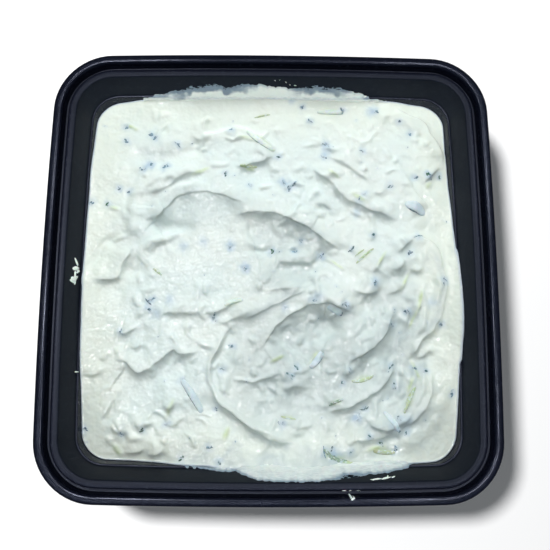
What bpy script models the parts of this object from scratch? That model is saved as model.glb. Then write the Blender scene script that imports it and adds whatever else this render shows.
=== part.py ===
"""Tzatziki dip in the square black tray that holds it.

The tray is one thin sheet of plastic: a flat base, a lower wall, a narrow ledge, an upper wall, a raised
ridge, a groove and a rolled outer lip with a short skirt. The dip fills the tray to about the ledge. Its top
was pushed about with a spoon, so it has overlapping folds, ridges and hollows, with slivers of cucumber and
flecks of dill lying in it.

Sizes are in millimetres here and become metres where a mesh is made. The origin is the middle of the base,
on the surface the tray stands on, and +Z is up. A depth is measured down from the top of the lip.
"""

import math
import random

import bmesh
import bpy
import numpy as np
from mathutils import Matrix, Vector

MM = 0.001

# The tray, over all
TRAY_WIDTH = 180.0
TRAY_HEIGHT = 45.0
SIDE_BOW = 1.5
CORNER_RADIUS = 22.5
TIGHTEST_CORNER = 6.0
SHEET = 1.0

# The tray's rim and walls, from the outside in
LIP_WIDTH = 3.5
GROOVE_WIDTH = 2.0
RIDGE_WIDTH = 2.8
UPPER_WALL_RUN = 3.1
LEDGE_WIDTH = 0.8
LOWER_WALL_RUN = 3.0
FLOOR_FILLET = 7.0
SKIRT_DEPTH = 6.0
GROOVE_DEPTH = 4.5
RIDGE_DEPTH = 2.0
LEDGE_DEPTH = 13.0

# Points round one ring of the tray
CORNER_STEPS = 6
SIDE_STEPS = 4

# The dip
GAP = 0.35
DIP_LEVEL = 14.5
CORNER_SAG = 4.6
RELIEF_HALF = 84.0
RELIEF_CELLS = 132
RELIEF_TRIANGLES = 7200
SEED = 7

HALF = TRAY_WIDTH / 2 - SIDE_BOW

# Where the surface meets the tray it stands higher or lower than the level:
# height, then middle and reach in x and y
SIDE_SWELLS = (
    (1.6, -80, -15, 7, 32),
    (6.6, 82, -12, 7, 26),
    (-4.0, 82, 46, 7, 20),
    (2.0, -5, 82, 36, 6),
    (-3.0, 66, 84, 16, 7),
    (-2.0, -64, 84, 14, 7),
    (4.8, 10, -90, 42, 20),
    (-3.8, -57, -86, 18, 14),
    (-2.5, -82, -55, 7, 12),
)

# Folds: one sheet of dip pushed over another. Height of its lip, drop beyond the lip, width of the face,
# then the edge, walked with the high sheet on the left.
FOLDS = {
    "main arc": (
        1.6, 3.8, 3.2,
        [(-17, 24), (-12, 26.5), (-6, 27.5), (1, 27), (8, 24.5), (17.5, 19.5), (26.5, 13), (31, 9)],
    ),
    "upper arc": (
        1.5, 3.2, 7.0,
        [(-56, 13), (-53, 19), (-45, 29), (-41, 33), (-33.5, 35.5), (-24, 35.5), (-14, 32), (-6, 28)],
    ),
    "inner ring": (0.9, 1.3, 0.7, [(-53.5, 32), (-46, 36.5), (-39, 41.5), (-28, 47)]),
    "curled tip": (1.6, 2.4, 0.5, [(-54.5, 20), (-51.5, 24), (-47, 26), (-48, 30), (-50.5, 32)]),
    "top lobe": (1.2, 0.8, 0.5, [(3.5, 50.5), (-3.5, 58), (-13, 63), (-19, 62), (-31.5, 58.5)]),
    "slit": (1.3, 2.4, 0.8, [(-18, 46), (-9, 48), (-2, 50.5), (3, 52)]),
    "north-east run": (1.5, 2.0, 0.8, [(16.5, 47.5), (25.5, 40.5), (33.5, 32.5), (43, 28), (55, 22.5)]),
    "under run": (1.0, 1.9, 1.0, [(16, 31.5), (22, 31), (26, 28.5), (32, 29)]),
    "corner lobe": (1.1, 0.9, 0.7, [(73.5, 47.5), (74, 54), (69, 62.5), (65, 68), (57.5, 71.5), (50, 74)]),
    "corner fold": (1.1, 1.3, 0.5, [(64, 38), (68, 42.5), (73.5, 48.5)]),
    "right arc": (
        1.2, 1.7, 0.8,
        [(55.5, -36.5), (64.5, -25), (70.5, -17), (72.5, -3.5), (70, 9.5), (61.5, 16)],
    ),
    "upper flap": (1.3, 1.7, 0.5, [(52, 8.5), (57, 13), (59.5, 17)]),
    "lower flap": (1.3, 1.6, 0.5, [(49, 4.5), (53.5, 3), (56, 8)]),
    "right knob": (0.9, 1.1, 0.5, [(58, 4.5), (61, 2), (63.5, 5)]),
    "middle lobe": (1.3, 1.8, 0.7, [(34, -4.5), (36.5, -7), (40, -7.5), (44, -7), (46.5, -3.5)]),
    "chunk bed": (1.0, 1.9, 0.6, [(19, -11.5), (22.5, -9.5), (30, -13.5), (31.5, -17)]),
    "low hump": (
        1.4, 5.2, 4.0,
        [(-5, -33), (-1, -24.5), (3, -20), (14, -13), (20, -11.5), (27, -12), (33, -15), (37, -18.5)],
    ),
    "middle lip": (0.6, 0.9, 1.0, [(-4.5, -8.5), (0.5, -6.5), (6, -5.5), (11, -5.5), (17.5, -4)]),
    "pit wall": (
        0.9, 2.8, 2.5,
        [(-15, -19.5), (-9, -18), (-4, -15.5), (1, -12.5), (7, -9.5), (13, -7), (18, -4)],
    ),
    "low strand": (0.9, 0.9, 0.5, [(-25, -18), (-19.5, -20), (-14.5, -18.5), (-4.5, -14)]),
    "high strand": (1.0, 1.1, 0.5, [(-30.5, -17), (-22, -15.5), (-17, -13), (-12, -11.5)]),
    "west lip": (1.1, 1.2, 0.8, [(-48, -20.5), (-44.5, -17), (-41, -16), (-35.5, -16.5), (-26.5, -16)]),
    "left lobe": (
        1.3, 1.2, 0.6,
        [(-75.5, -2), (-66, -2.5), (-63.5, -0.5), (-62.5, 3.5), (-59, 9.5), (-55.5, 11.5)],
    ),
    "west tip": (0.8, 1.3, 0.5, [(-64, -22.5), (-60, -25), (-53.5, -19.5)]),
    "south-west lobe": (
        1.5, 2.1, 0.5,
        [(-64, -34.5), (-58.5, -36.5), (-54, -40.5), (-46.5, -36.5), (-40, -31.5), (-29.5, -33)],
    ),
    "loop, south": (
        1.0, 1.9, 0.6,
        [(-24, -46), (-21, -52), (-16.5, -56), (-11.5, -59.5), (-6, -63.5), (0, -66.5), (6, -68),
         (12, -68.5)],
    ),
    "loop, west": (0.6, 1.2, 0.5, [(-25, -45.5), (-24.5, -36.5), (-17.5, -23.5), (-12, -19.5)]),
    "inner lip": (1.0, 1.4, 0.5, [(-11, -46), (-3.5, -43.5), (4.5, -41.5), (6, -43)]),
    "inner shelf": (0.8, 1.3, 0.8, [(4, -47.5), (11, -46), (17, -47.5)]),
    "inner turn": (0.6, 0.7, 0.5, [(-2.5, -27), (-1, -32), (2, -36), (4.5, -39)]),
    "south-east lobe": (
        1.6, 2.4, 1.0,
        [(30, -37), (36, -34), (42, -30), (47, -25), (49.5, -19), (51, -13)],
    ),
    "south-east tip": (1.1, 1.3, 0.5, [(29, -40), (32, -41), (34.5, -37)]),
    "south-east sweep": (1.3, 1.7, 0.5, [(21, -57.5), (31.5, -54), (43, -48), (50, -39), (49.5, -34.5)]),
    "south-east bowl": (1.0, 1.3, 0.5, [(37, -56.5), (43, -62), (52, -61.5), (59, -54)]),
    "swirl's edge": (0.8, 1.6, 0.8, [(52, -63.5), (58.5, -59.5), (65, -50.5), (66, -43), (65, -37.5)]),
}

# Round ridges, and troughs where the height is negative: height, half width, line along the top
RIDGES = {
    "outer ring": (1.5, 2.4, [(-57.5, 11.5), (-58.5, 26), (-55.5, 35.5), (-46, 41.5), (-29, 46)]),
    "second ring": (0.9, 2.0, [(-51.5, 28), (-42, 35.5), (-25, 38.5)]),
    "west ridge": (1.4, 1.7, [(-55, 7.5), (-50, 13), (-40.5, 16.5), (-33.5, 18.5)]),
    "hook": (1.3, 2.0, [(1.5, 7.5), (13.5, 7.5), (17, 10), (13.5, 14)]),
    "loop's rim": (1.0, 1.2, [(-17.5, -23), (-24.5, -36.5), (-23.5, -47), (-11.5, -59), (3.5, -66.5)]),
    "south-east bank": (1.4, 4.5, [(71, -38), (68, -55), (57, -66.5), (49, -70)]),
    "east bank": (0.7, 4.0, [(77, 21), (77.5, 6), (75.5, -31.5)]),
    "north-east band": (0.9, 3.0, [(42, 69), (56, 69.5), (65, 60.5)]),
    "middle roll": (0.8, 2.5, [(26.5, -29.5), (39, -20), (42, -14.5)]),
    "low roll": (0.5, 2.5, [(-3.5, -34.5), (17, -31), (26.5, -27.5)]),
    "right strand": (0.9, 1.6, [(62, -6), (64.5, -14), (56, -30.5)]),
    "inner strand": (0.9, 1.6, [(57, -8), (59, -18), (52.5, -30)]),
    "lower strand": (0.9, 1.6, [(61, -34), (61, -47), (53, -58)]),
    "north-west bowl": (-1.3, 3.0, [(-60.5, 55), (-52, 49.5), (-39, 51.5), (-27.5, 59)]),
    "crease above the hook": (-1.3, 1.6, [(-11.5, 13), (-8.5, 10.5), (3.5, 8.5)]),
    "south-east shoulder": (0.8, 2.6, [(30, -66.5), (40, -66), (50, -63), (58, -58)]),
    "below the rim": (-1.3, 3.0, [(18, -73), (26, -75), (36, -75.5), (46, -74.5), (54, -71.5)]),
    "left crease": (-0.8, 1.6, [(-75, -1.5), (-72, 8.5), (-63, 17)]),
}

# Bumps, and hollows where the height is negative: height, middle and reach in x and y
BUMPS = {
    "hollow in the curl": (-1.6, -50, 23, 2.9, 3.3),
    "hollow below the curl": (-1.4, -41.5, 20, 7, 2.5),
    "low hollow": (-1.4, 14, -50, 28, 14),
    "right hollow": (-1.0, 52, -30, 12, 22),
    "north-east hollow": (-1.2, 23.5, 29, 3.7, 2.5),
    "north-west mound": (0.9, -45.5, 57.5, 6.6, 3.7),
    "top mound": (0.8, -30.5, 64.5, 3.7, 2.9),
    "right mound": (1.0, 60, 6.5, 3.3, 3.7),
    "second right mound": (1.0, 59.5, -5, 4.1, 3.7),
    "coated chunk": (1.2, 24.5, -15, 4.5, 2.5),
    "bright mound": (1.0, 45.5, -40.5, 3.3, 4.9),
    "south-west mound": (0.9, -41.5, -49, 4.1, 6.6),
    "left mound": (0.9, -61.5, -60.5, 4.1, 4.9),
    "bottom mound": (0.8, -46, -70, 3.7, 3.7),
    "south mound": (0.8, -23, -63.5, 4.9, 4.9),
}

# Slivers of cucumber that show from a step away: one end, other end, width
SLIVERS = (
    ((-35, -45), (-28, -56), 2.4),
    ((58, 30), (65, 27), 4.6),
    ((0.5, 54.5), (-9, 61), 2.0),
    ((-17, -13.5), (-12, -11.5), 1.8),
    ((55, -56), (59.5, -47), 1.8),
    ((36.5, 5), (43, 10.5), 1.4),
    ((16.5, -38.5), (21, -32.5), 2.0),
    ((-7.5, 68.5), (-0.5, 70), 1.3),
    ((33.5, -44.5), (42.5, -42.5), 1.4),
    ((-49.5, 2), (-45.5, -1), 1.5),
    ((21, 71.5), (31, 71.5), 3.0),
    ((44.5, 2.5), (49, 10), 1.4),
    ((42.5, -71), (49, -71.5), 1.6),
    ((24, -71), (29, -72), 1.8),
    ((25, -53.5), (29.5, -52), 1.5),
    ((5, -59), (10, -59), 1.4),
)
SLIVER_THICKNESS = 1.5

# The largest flecks of dill, and how many more lie scattered over the rest
FLECKS = (
    (-40.5, 56), (-50.5, 59.5), (-46, 45.5), (-60, 35), (3, 51), (-19.5, 43),
    (23, 56.5), (10, 38.5), (9, 76), (67.5, 43.5), (73, 43), (40, 34.5),
    (62.5, 16), (59, 9), (43.5, 16.5), (72, -3), (32, -14), (51, -21),
    (57, -15.5), (-50.5, -13), (-20, -39.5), (-15.5, -30), (8.5, -42), (5, -61.5),
    (38.5, -55), (35.5, -58.5), (64, -40), (51.5, -46.5), (22, -70.5), (45, -69),
)
SCATTERED_FLECKS = 22
FLECK_LENGTH = (1.6, 2.6)
FLECK_WIDTH = 1.0


def clear_scene():
    for obj in list(bpy.data.objects):
        bpy.data.objects.remove(obj, do_unlink=True)


def new_collection(name):
    collection = bpy.data.collections.new(name)
    bpy.context.scene.collection.children.link(collection)
    return collection


def new_material(name, colour, roughness):
    material = bpy.data.materials.new(name)
    material.use_nodes = True
    shader = material.node_tree.nodes["Principled BSDF"]
    shader.inputs["Base Color"].default_value = (*colour, 1.0)
    shader.inputs["Roughness"].default_value = roughness
    shader.inputs["Metallic"].default_value = 0.0
    return material


def object_from(bm, name, collection):
    mesh = bpy.data.meshes.new(name)
    bm.to_mesh(mesh)
    bm.free()
    obj = bpy.data.objects.new(name, mesh)
    collection.objects.link(obj)
    return obj


def face_outwards(bm):
    """Turn every face of a closed shape outwards, thin bent sheets included."""
    bmesh.ops.recalc_face_normals(bm, faces=bm.faces)
    if bm.calc_volume(signed=True) < 0:
        bmesh.ops.reverse_faces(bm, faces=bm.faces)


def apply_modifiers(obj):
    """Give the object the mesh that its modifiers make, and take the modifiers off."""
    bpy.context.view_layer.update()
    graph = bpy.context.evaluated_depsgraph_get()
    mesh = bpy.data.meshes.new_from_object(obj.evaluated_get(graph))
    obj.modifiers.clear()
    old = obj.data
    obj.data = mesh
    bpy.data.meshes.remove(old)


def height(depth):
    return TRAY_HEIGHT - depth


def ring_points(inset):
    """Points round the tray at this distance in from its outer edge: arcs at the corners, bowed sides."""
    half = HALF - inset
    radius = max(CORNER_RADIUS - inset, TIGHTEST_CORNER)
    centre = half - radius
    points = []
    for quarter in range(4):
        turn = Matrix.Rotation(quarter * math.pi / 2, 2)
        for step in range(CORNER_STEPS + 1):
            angle = step / CORNER_STEPS * math.pi / 2
            corner = Vector((centre + radius * math.cos(angle), centre + radius * math.sin(angle)))
            points.append(turn @ corner)
        for step in range(1, SIDE_STEPS):
            points.append(turn @ Vector((centre - 2 * centre * step / SIDE_STEPS, half)))
    bow = SIDE_BOW / half
    return [
        Vector((x * (1 + bow * (1 - (y / half) ** 2)), y * (1 + bow * (1 - (x / half) ** 2))))
        for x, y in points
    ]


def add_ring(bm, inset, depth):
    corners = [bm.verts.new((x * MM, y * MM, height(depth) * MM)) for x, y in ring_points(inset)]
    return [bm.edges.new((a, b)) for a, b in zip(corners, corners[1:] + corners[:1])]


def solid_from_profile(profile, name, collection):
    """A closed solid through one ring for each (inset, depth), with a flat cap on the first and the last.

    Two rings that follow each other differ in depth a little at least: level ones are joined crossed.
    """
    bm = bmesh.new()
    rings = [add_ring(bm, inset, depth) for inset, depth in profile]
    for lower, upper in zip(rings, rings[1:]):
        bmesh.ops.bridge_loops(bm, edges=lower + upper)
    for end in (rings[0], rings[-1]):
        bmesh.ops.contextual_create(bm, geom=end)
    face_outwards(bm)
    return object_from(bm, name, collection)


def fillet(inset, depth, radius, steps=3):
    """The rounded foot of a wall: from the floor at this depth up to a wall that starts at this inset."""
    return [
        (inset + radius * (1 - math.sin(a)), depth - radius * (1 - math.cos(a)))
        for a in (step / steps * math.pi / 2 for step in range(steps + 1))
    ]


def cavity_profile():
    """The inside of the tray, from the edge of its flat floor up to the top of its upper wall."""
    ridge_inside = LIP_WIDTH + GROOVE_WIDTH + RIDGE_WIDTH
    ledge_outside = ridge_inside + UPPER_WALL_RUN
    ledge_inside = ledge_outside + LEDGE_WIDTH
    foot = fillet(ledge_inside + LOWER_WALL_RUN, TRAY_HEIGHT - SHEET, FLOOR_FILLET)
    return foot + [
        (ledge_inside, LEDGE_DEPTH + 0.1),
        (ledge_outside, LEDGE_DEPTH - 0.1),
        (ridge_inside + 0.3, RIDGE_DEPTH + 0.9),
    ]


def moved_in(profile, distance):
    """The profile moved this far into the cavity, square to itself; its first point is on the floor."""
    points = [Vector(p) for p in profile]
    runs = [(b - a).normalized() for a, b in zip(points, points[1:])]
    facing = [Vector((-run.y, run.x)) for run in runs]
    facing = [Vector((0, -1))] + facing + [facing[-1]]
    middles = [(a + b).normalized() for a, b in zip(facing, facing[1:])]
    return [tuple(p + m * distance / m.dot(side)) for p, m, side in zip(points, middles, facing)]


def build_tray(collection):
    inside = cavity_profile()
    ridge_outside = LIP_WIDTH + GROOVE_WIDTH
    ridge_inside = ridge_outside + RIDGE_WIDTH
    rim = [
        (ridge_inside - 0.3, RIDGE_DEPTH + 0.2),
        (ridge_inside - 1.0, RIDGE_DEPTH),
        (ridge_outside + 0.8, RIDGE_DEPTH - 0.05),
        (ridge_outside + 0.1, RIDGE_DEPTH + 0.5),
        (ridge_outside - 0.2, GROOVE_DEPTH),
        (LIP_WIDTH + 0.4, GROOVE_DEPTH - 0.05),
        (LIP_WIDTH, 0.9),
        (LIP_WIDTH - 0.5, 0.2),
        (LIP_WIDTH - 1.4, 0.0),
        (1.1, 0.05),
        (0.35, 0.35),
        (0.0, 1.2),
        (0.0, SKIRT_DEPTH),
        (SHEET, SKIRT_DEPTH - 0.05),
    ]
    under_rim = [
        (SHEET, 1.4),
        (LIP_WIDTH - SHEET, 1.2),
        (LIP_WIDTH + 0.4 - SHEET, GROOVE_DEPTH + SHEET),
        (ridge_inside - 0.5, GROOVE_DEPTH + SHEET + 0.05),
    ]
    outer_wall = moved_in(inside, -SHEET)[:-1]
    outer_wall.reverse()
    profile = inside + rim + under_rim + outer_wall
    tray = solid_from_profile(profile, "tray", collection)
    tray.data.materials.append(new_material("black plastic", (0.012, 0.014, 0.021), 0.34))
    tray.data.shade_smooth()
    tray.data.set_sharp_from_angle(angle=math.radians(35))
    return tray


def smooth_path(points, per_span=6):
    """Points along a Catmull-Rom curve through the given ones."""
    p = np.array(points, float)
    p = np.vstack([2 * p[0] - p[1], p, 2 * p[-1] - p[-2]])
    t = (np.arange(per_span) / per_span)[:, None]
    spans = [
        b + 0.5 * t * (c - a + t * (2 * a - 5 * b + 4 * c - d + t * (3 * b - a - 3 * c + d)))
        for a, b, c, d in zip(p, p[1:], p[2:], p[3:])
    ]
    return np.vstack(spans + [p[-2]])


def measure_from(x, y, line, reach):
    """For the places within reach of the line: signed distance, left positive, and a fade towards its ends."""
    path = smooth_path(line)
    low = path.min(axis=0) - reach
    high = path.max(axis=0) + reach
    near = (x > low[0]) & (x < high[0]) & (y > low[1]) & (y < high[1])
    places = np.stack([x[near], y[near]], axis=-1)
    steps = np.diff(path, axis=0)
    lengths = np.hypot(*steps.T)
    starts = np.concatenate([[0.0], np.cumsum(lengths)])
    distance = np.full(len(places), np.inf)
    side = np.ones(len(places))
    along = np.zeros(len(places))
    for corner, step, length, start in zip(path, steps, lengths, starts):
        away = places - corner
        t = np.clip(away @ step / length**2, 0, 1)
        gap = np.hypot(away[:, 0] - t * step[0], away[:, 1] - t * step[1])
        closer = gap < distance
        distance[closer] = gap[closer]
        side[closer] = np.where(step[0] * away[closer, 1] < step[1] * away[closer, 0], -1, 1)
        along[closer] = start + t[closer] * length
    fade = np.clip(np.minimum(along, starts[-1] - along) / min(9.0, 0.45 * starts[-1]), 0, 1)
    return near, distance * side, fade * fade * (3 - 2 * fade)


def fold_form(distance, lip, drop, edge):
    """A rounded lip on the high side, a crisp edge, and a face that runs out into a shallow hollow."""
    back = np.maximum(distance, 0)
    front = np.maximum(-distance, 0)
    face = edge + 0.55 * (lip + drop)
    high = lip * np.exp(-((back / (3 + 3 * lip)) ** 1.5))
    low = (lip + drop) * np.exp(-((front / face) ** 1.15)) - drop * np.exp(-((front / (3 + 4 * drop)) ** 2))
    return np.where(distance > 0, high, low)


def ripple(x, y, wavelength, seed, waves=24):
    """Soft random unevenness of about this wavelength."""
    rng = np.random.default_rng(seed)
    total = np.zeros_like(x)
    for _ in range(waves):
        way = rng.uniform(0, 2 * math.pi)
        rate = 2 * math.pi / (wavelength * rng.uniform(0.7, 1.5))
        total += np.sin(rate * (x * math.cos(way) + y * math.sin(way)) + rng.uniform(0, 2 * math.pi))
    return total / math.sqrt(waves / 2)


def relief(x, y):
    """Height of the dip's top at each x, y, in millimetres above the base."""
    z = np.full_like(x, height(DIP_LEVEL))
    far = np.maximum(np.abs(x), np.abs(y))
    near = np.minimum(np.abs(x), np.abs(y))
    z -= CORNER_SAG * np.clip((near - 38) / 38, 0, 1) ** 2 * np.clip((far - 55) / 22, 0, 1)
    for lip, drop, edge, line in FOLDS.values():
        within, distance, fade = measure_from(x, y, line, 26)
        z[within] += fold_form(distance, lip, drop, edge) * fade
    for rise, width, line in RIDGES.values():
        within, distance, fade = measure_from(x, y, line, 3 * width)
        z[within] += rise * np.exp(-((distance / width) ** 2)) * fade
    for rise, at_x, at_y, reach_x, reach_y in (*BUMPS.values(), *SIDE_SWELLS):
        z += rise * np.exp(-(((x - at_x) / reach_x) ** 2) - ((y - at_y) / reach_y) ** 2)
    return z + 0.2 * ripple(x, y, 16.0, SEED)


def relief_at(x, y):
    return float(relief(np.array([float(x)]), np.array([float(y)]))[0])


def relief_block(collection):
    """A solid block whose top is the dip's surface: a grid set to the relief, thinned out, with walls below."""
    bm = bmesh.new()
    bmesh.ops.create_grid(bm, x_segments=RELIEF_CELLS, y_segments=RELIEF_CELLS, size=RELIEF_HALF)
    places = np.array([v.co[:] for v in bm.verts])
    for vert, z in zip(bm.verts, relief(places[:, 0], places[:, 1])):
        vert.co = Vector((vert.co.x, vert.co.y, z)) * MM
    block = object_from(bm, "relief block", collection)
    thin = block.modifiers.new("thin out", "DECIMATE")
    thin.ratio = RELIEF_TRIANGLES / (2 * RELIEF_CELLS**2)
    apply_modifiers(block)

    bm = bmesh.new()
    bm.from_mesh(block.data)
    rim = [edge for edge in bm.edges if edge.is_boundary]
    walls = bmesh.ops.extrude_edge_only(bm, edges=rim)["geom"]
    for vert in (item for item in walls if isinstance(item, bmesh.types.BMVert)):
        vert.co.z = -5 * MM
    bmesh.ops.contextual_create(bm, geom=[edge for edge in bm.edges if edge.is_boundary])
    face_outwards(bm)
    bm.to_mesh(block.data)
    bm.free()
    return block


def place_topping(bm, name, collection, at, turn, size):
    """Scale a unit shape, turn it about Z and lay it on the relief, a little over half sunk."""
    z = relief_at(*at) + 0.05 * size.z
    lay = Matrix.Translation(Vector((*at, z)) * MM)
    bmesh.ops.transform(
        bm,
        matrix=lay @ Matrix.Rotation(turn, 4, "Z") @ Matrix.Diagonal((*(size * MM), 1)),
        verts=bm.verts,
    )
    return object_from(bm, name, collection)


def add_sliver(index, start, end, width, collection):
    run = Vector(end) - Vector(start)
    middle = (Vector(start) + Vector(end)) / 2
    bm = bmesh.new()
    bmesh.ops.create_uvsphere(bm, u_segments=6, v_segments=5, radius=0.5)
    bmesh.ops.rotate(bm, verts=bm.verts, matrix=Matrix.Rotation(math.pi / 2, 3, "Y"))
    for vert in bm.verts:
        vert.co.y += 0.5 * vert.co.x**2
    size = Vector((run.length, width, SLIVER_THICKNESS))
    turn = math.atan2(run.y, run.x)
    place_topping(bm, f"sliver {index}", collection, middle, turn, size)


def add_fleck(index, at, rng, collection):
    bm = bmesh.new()
    bmesh.ops.create_icosphere(bm, subdivisions=1, radius=0.5)
    size = Vector((rng.uniform(*FLECK_LENGTH), FLECK_WIDTH, 1.1))
    place_topping(bm, f"fleck {index}", collection, at, rng.uniform(0, math.pi), size)


def scattered_places(taken, rng):
    """Places for more flecks, clear of everything already placed."""
    places = []
    while len(places) < SCATTERED_FLECKS:
        spot = Vector((rng.uniform(-70, 70), rng.uniform(-70, 70)))
        if min((spot - Vector(other)).length for other in taken + places) > 7:
            places.append(spot)
    return places


def add_toppings(collection):
    rng = random.Random(SEED)
    for index, (start, end, width) in enumerate(SLIVERS):
        add_sliver(index, start, end, width, collection)
    middles = [(Vector(start) + Vector(end)) / 2 for start, end, _ in SLIVERS]
    spots = [Vector(at) for at in FLECKS]
    for index, at in enumerate(spots + scattered_places(middles + spots, rng)):
        add_fleck(index, at, rng, collection)


def keep_largest_body(mesh):
    """Drop any loose scrap that a union left beside the main body."""
    bm = bmesh.new()
    bm.from_mesh(mesh)
    left = set(bm.verts)
    bodies = []
    while left:
        body = {left.pop()}
        edge_of_body = set(body)
        while edge_of_body:
            edge_of_body = {e.other_vert(v) for v in edge_of_body for e in v.link_edges} - body
            body |= edge_of_body
        left -= body
        bodies.append(body)
    largest = max(bodies, key=len)
    scraps = [v for body in bodies if body is not largest for v in body]
    bmesh.ops.delete(bm, geom=scraps, context="VERTS")
    bm.to_mesh(mesh)
    bm.free()


def build_dip(collection, helpers):
    cavity = [(inset, depth) for inset, depth in moved_in(cavity_profile(), GAP)]
    dip = solid_from_profile(cavity, "dip", collection)
    block = relief_block(helpers)
    cut = dip.modifiers.new("fill to the relief", "BOOLEAN")
    cut.operation = "INTERSECT"
    cut.object = block
    apply_modifiers(dip)
    bpy.data.objects.remove(block, do_unlink=True)

    toppings = new_collection("toppings")
    add_toppings(toppings)
    join = dip.modifiers.new("lay in the toppings", "BOOLEAN")
    join.operation = "UNION"
    join.operand_type = "COLLECTION"
    join.collection = toppings
    apply_modifiers(dip)
    for obj in list(toppings.objects):
        bpy.data.objects.remove(obj, do_unlink=True)
    bpy.data.collections.remove(toppings)

    keep_largest_body(dip.data)
    dip.data.materials.clear()
    dip.data.materials.append(new_material("yoghurt dip", (0.82, 0.87, 0.83), 0.38))
    dip.data.shade_smooth()
    return dip


def main():
    clear_scene()
    parts = new_collection("tzatziki dip in its tray")
    helpers = new_collection("helpers")
    helpers.hide_render = True
    build_tray(parts)
    build_dip(parts, helpers)


main()
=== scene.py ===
# %% [markdown]
# # Tzatziki in a square black tray
#
# A shallow plastic tray, 180 mm across, holds a thick yoghurt dip that was pushed about with a spoon.
# The dip is nearly white, so the picture lives on its relief: folds lying over each other, ridges,
# hollows, slivers of cucumber and flecks of dill. The tray is the opposite, plain in shape and glossy
# black.
#
# Sizes are in millimetres and become metres where a mesh is made. The origin is the middle of the
# tray's underside. A depth is measured down from the top of the tray's lip, an inset in from its
# outer edge.

import math

import bmesh
import bpy
import numpy as np
from mathutils import Matrix, Vector
from mathutils.bvhtree import BVHTree


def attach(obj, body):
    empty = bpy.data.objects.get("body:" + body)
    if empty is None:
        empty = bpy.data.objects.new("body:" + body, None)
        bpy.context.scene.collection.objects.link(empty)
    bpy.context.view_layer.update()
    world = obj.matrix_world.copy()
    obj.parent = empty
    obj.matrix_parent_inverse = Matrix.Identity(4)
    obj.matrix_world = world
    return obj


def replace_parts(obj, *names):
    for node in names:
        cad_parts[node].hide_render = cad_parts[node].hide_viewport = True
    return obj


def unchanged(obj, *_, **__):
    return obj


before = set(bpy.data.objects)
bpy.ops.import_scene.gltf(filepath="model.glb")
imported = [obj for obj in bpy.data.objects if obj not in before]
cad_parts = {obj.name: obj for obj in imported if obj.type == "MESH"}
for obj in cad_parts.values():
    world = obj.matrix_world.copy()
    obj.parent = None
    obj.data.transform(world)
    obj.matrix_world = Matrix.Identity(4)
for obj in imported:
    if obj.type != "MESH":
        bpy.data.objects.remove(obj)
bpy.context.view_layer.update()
MM = 0.001

# %% [markdown]
# ## The camera, the floor and the light
#
# The picture looks almost straight down from about 22 cm above the lip, from a little in front of the
# middle. A tray this close shows its perspective: the near side is wider than the far one. The
# camera's place and turn were found by matching the tray's four corners.

# %% Camera
camera_data = bpy.data.cameras.new("camera")
camera_data.lens = 36.304
camera_data.sensor_width = 36.0
camera_data.clip_start = 0.01
camera = bpy.data.objects.new("camera", camera_data)
camera.location = (-0.000853, -0.033205, 0.26059)
camera.rotation_euler = (0.14063, -0.01243, 0.00413)
bpy.context.scene.collection.objects.link(camera)
bpy.context.scene.camera = camera
bpy.context.scene.view_settings.view_transform = "Standard"
print("camera", round(camera.location.z * 1000), "mm above the floor")

# %% [markdown]
# A material is a graph of nodes. Written out link by link it is hard to read, so one small class
# wraps a socket and lets it be used in sums: `1 - mask` adds the Math node by itself. Every other
# kind of node comes from one method, which takes the node's type, its settings and what goes into its
# sockets.


# %% Shader sums
class Wire:
    """A value or colour on its way through a material's nodes."""

    def __init__(self, finish, socket):
        self.finish = finish
        self.socket = socket

    def _with(self, operation, *values):
        return self.finish.node("ShaderNodeMath", {"operation": operation}, dict(enumerate(values)))["Value"]

    def __add__(self, other):
        return self._with("ADD", self, other)

    def __radd__(self, other):
        return self._with("ADD", other, self)

    def __sub__(self, other):
        return self._with("SUBTRACT", self, other)

    def __rsub__(self, other):
        return self._with("SUBTRACT", other, self)

    def __mul__(self, other):
        return self._with("MULTIPLY", self, other)

    def __rmul__(self, other):
        return self._with("MULTIPLY", other, self)


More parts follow.
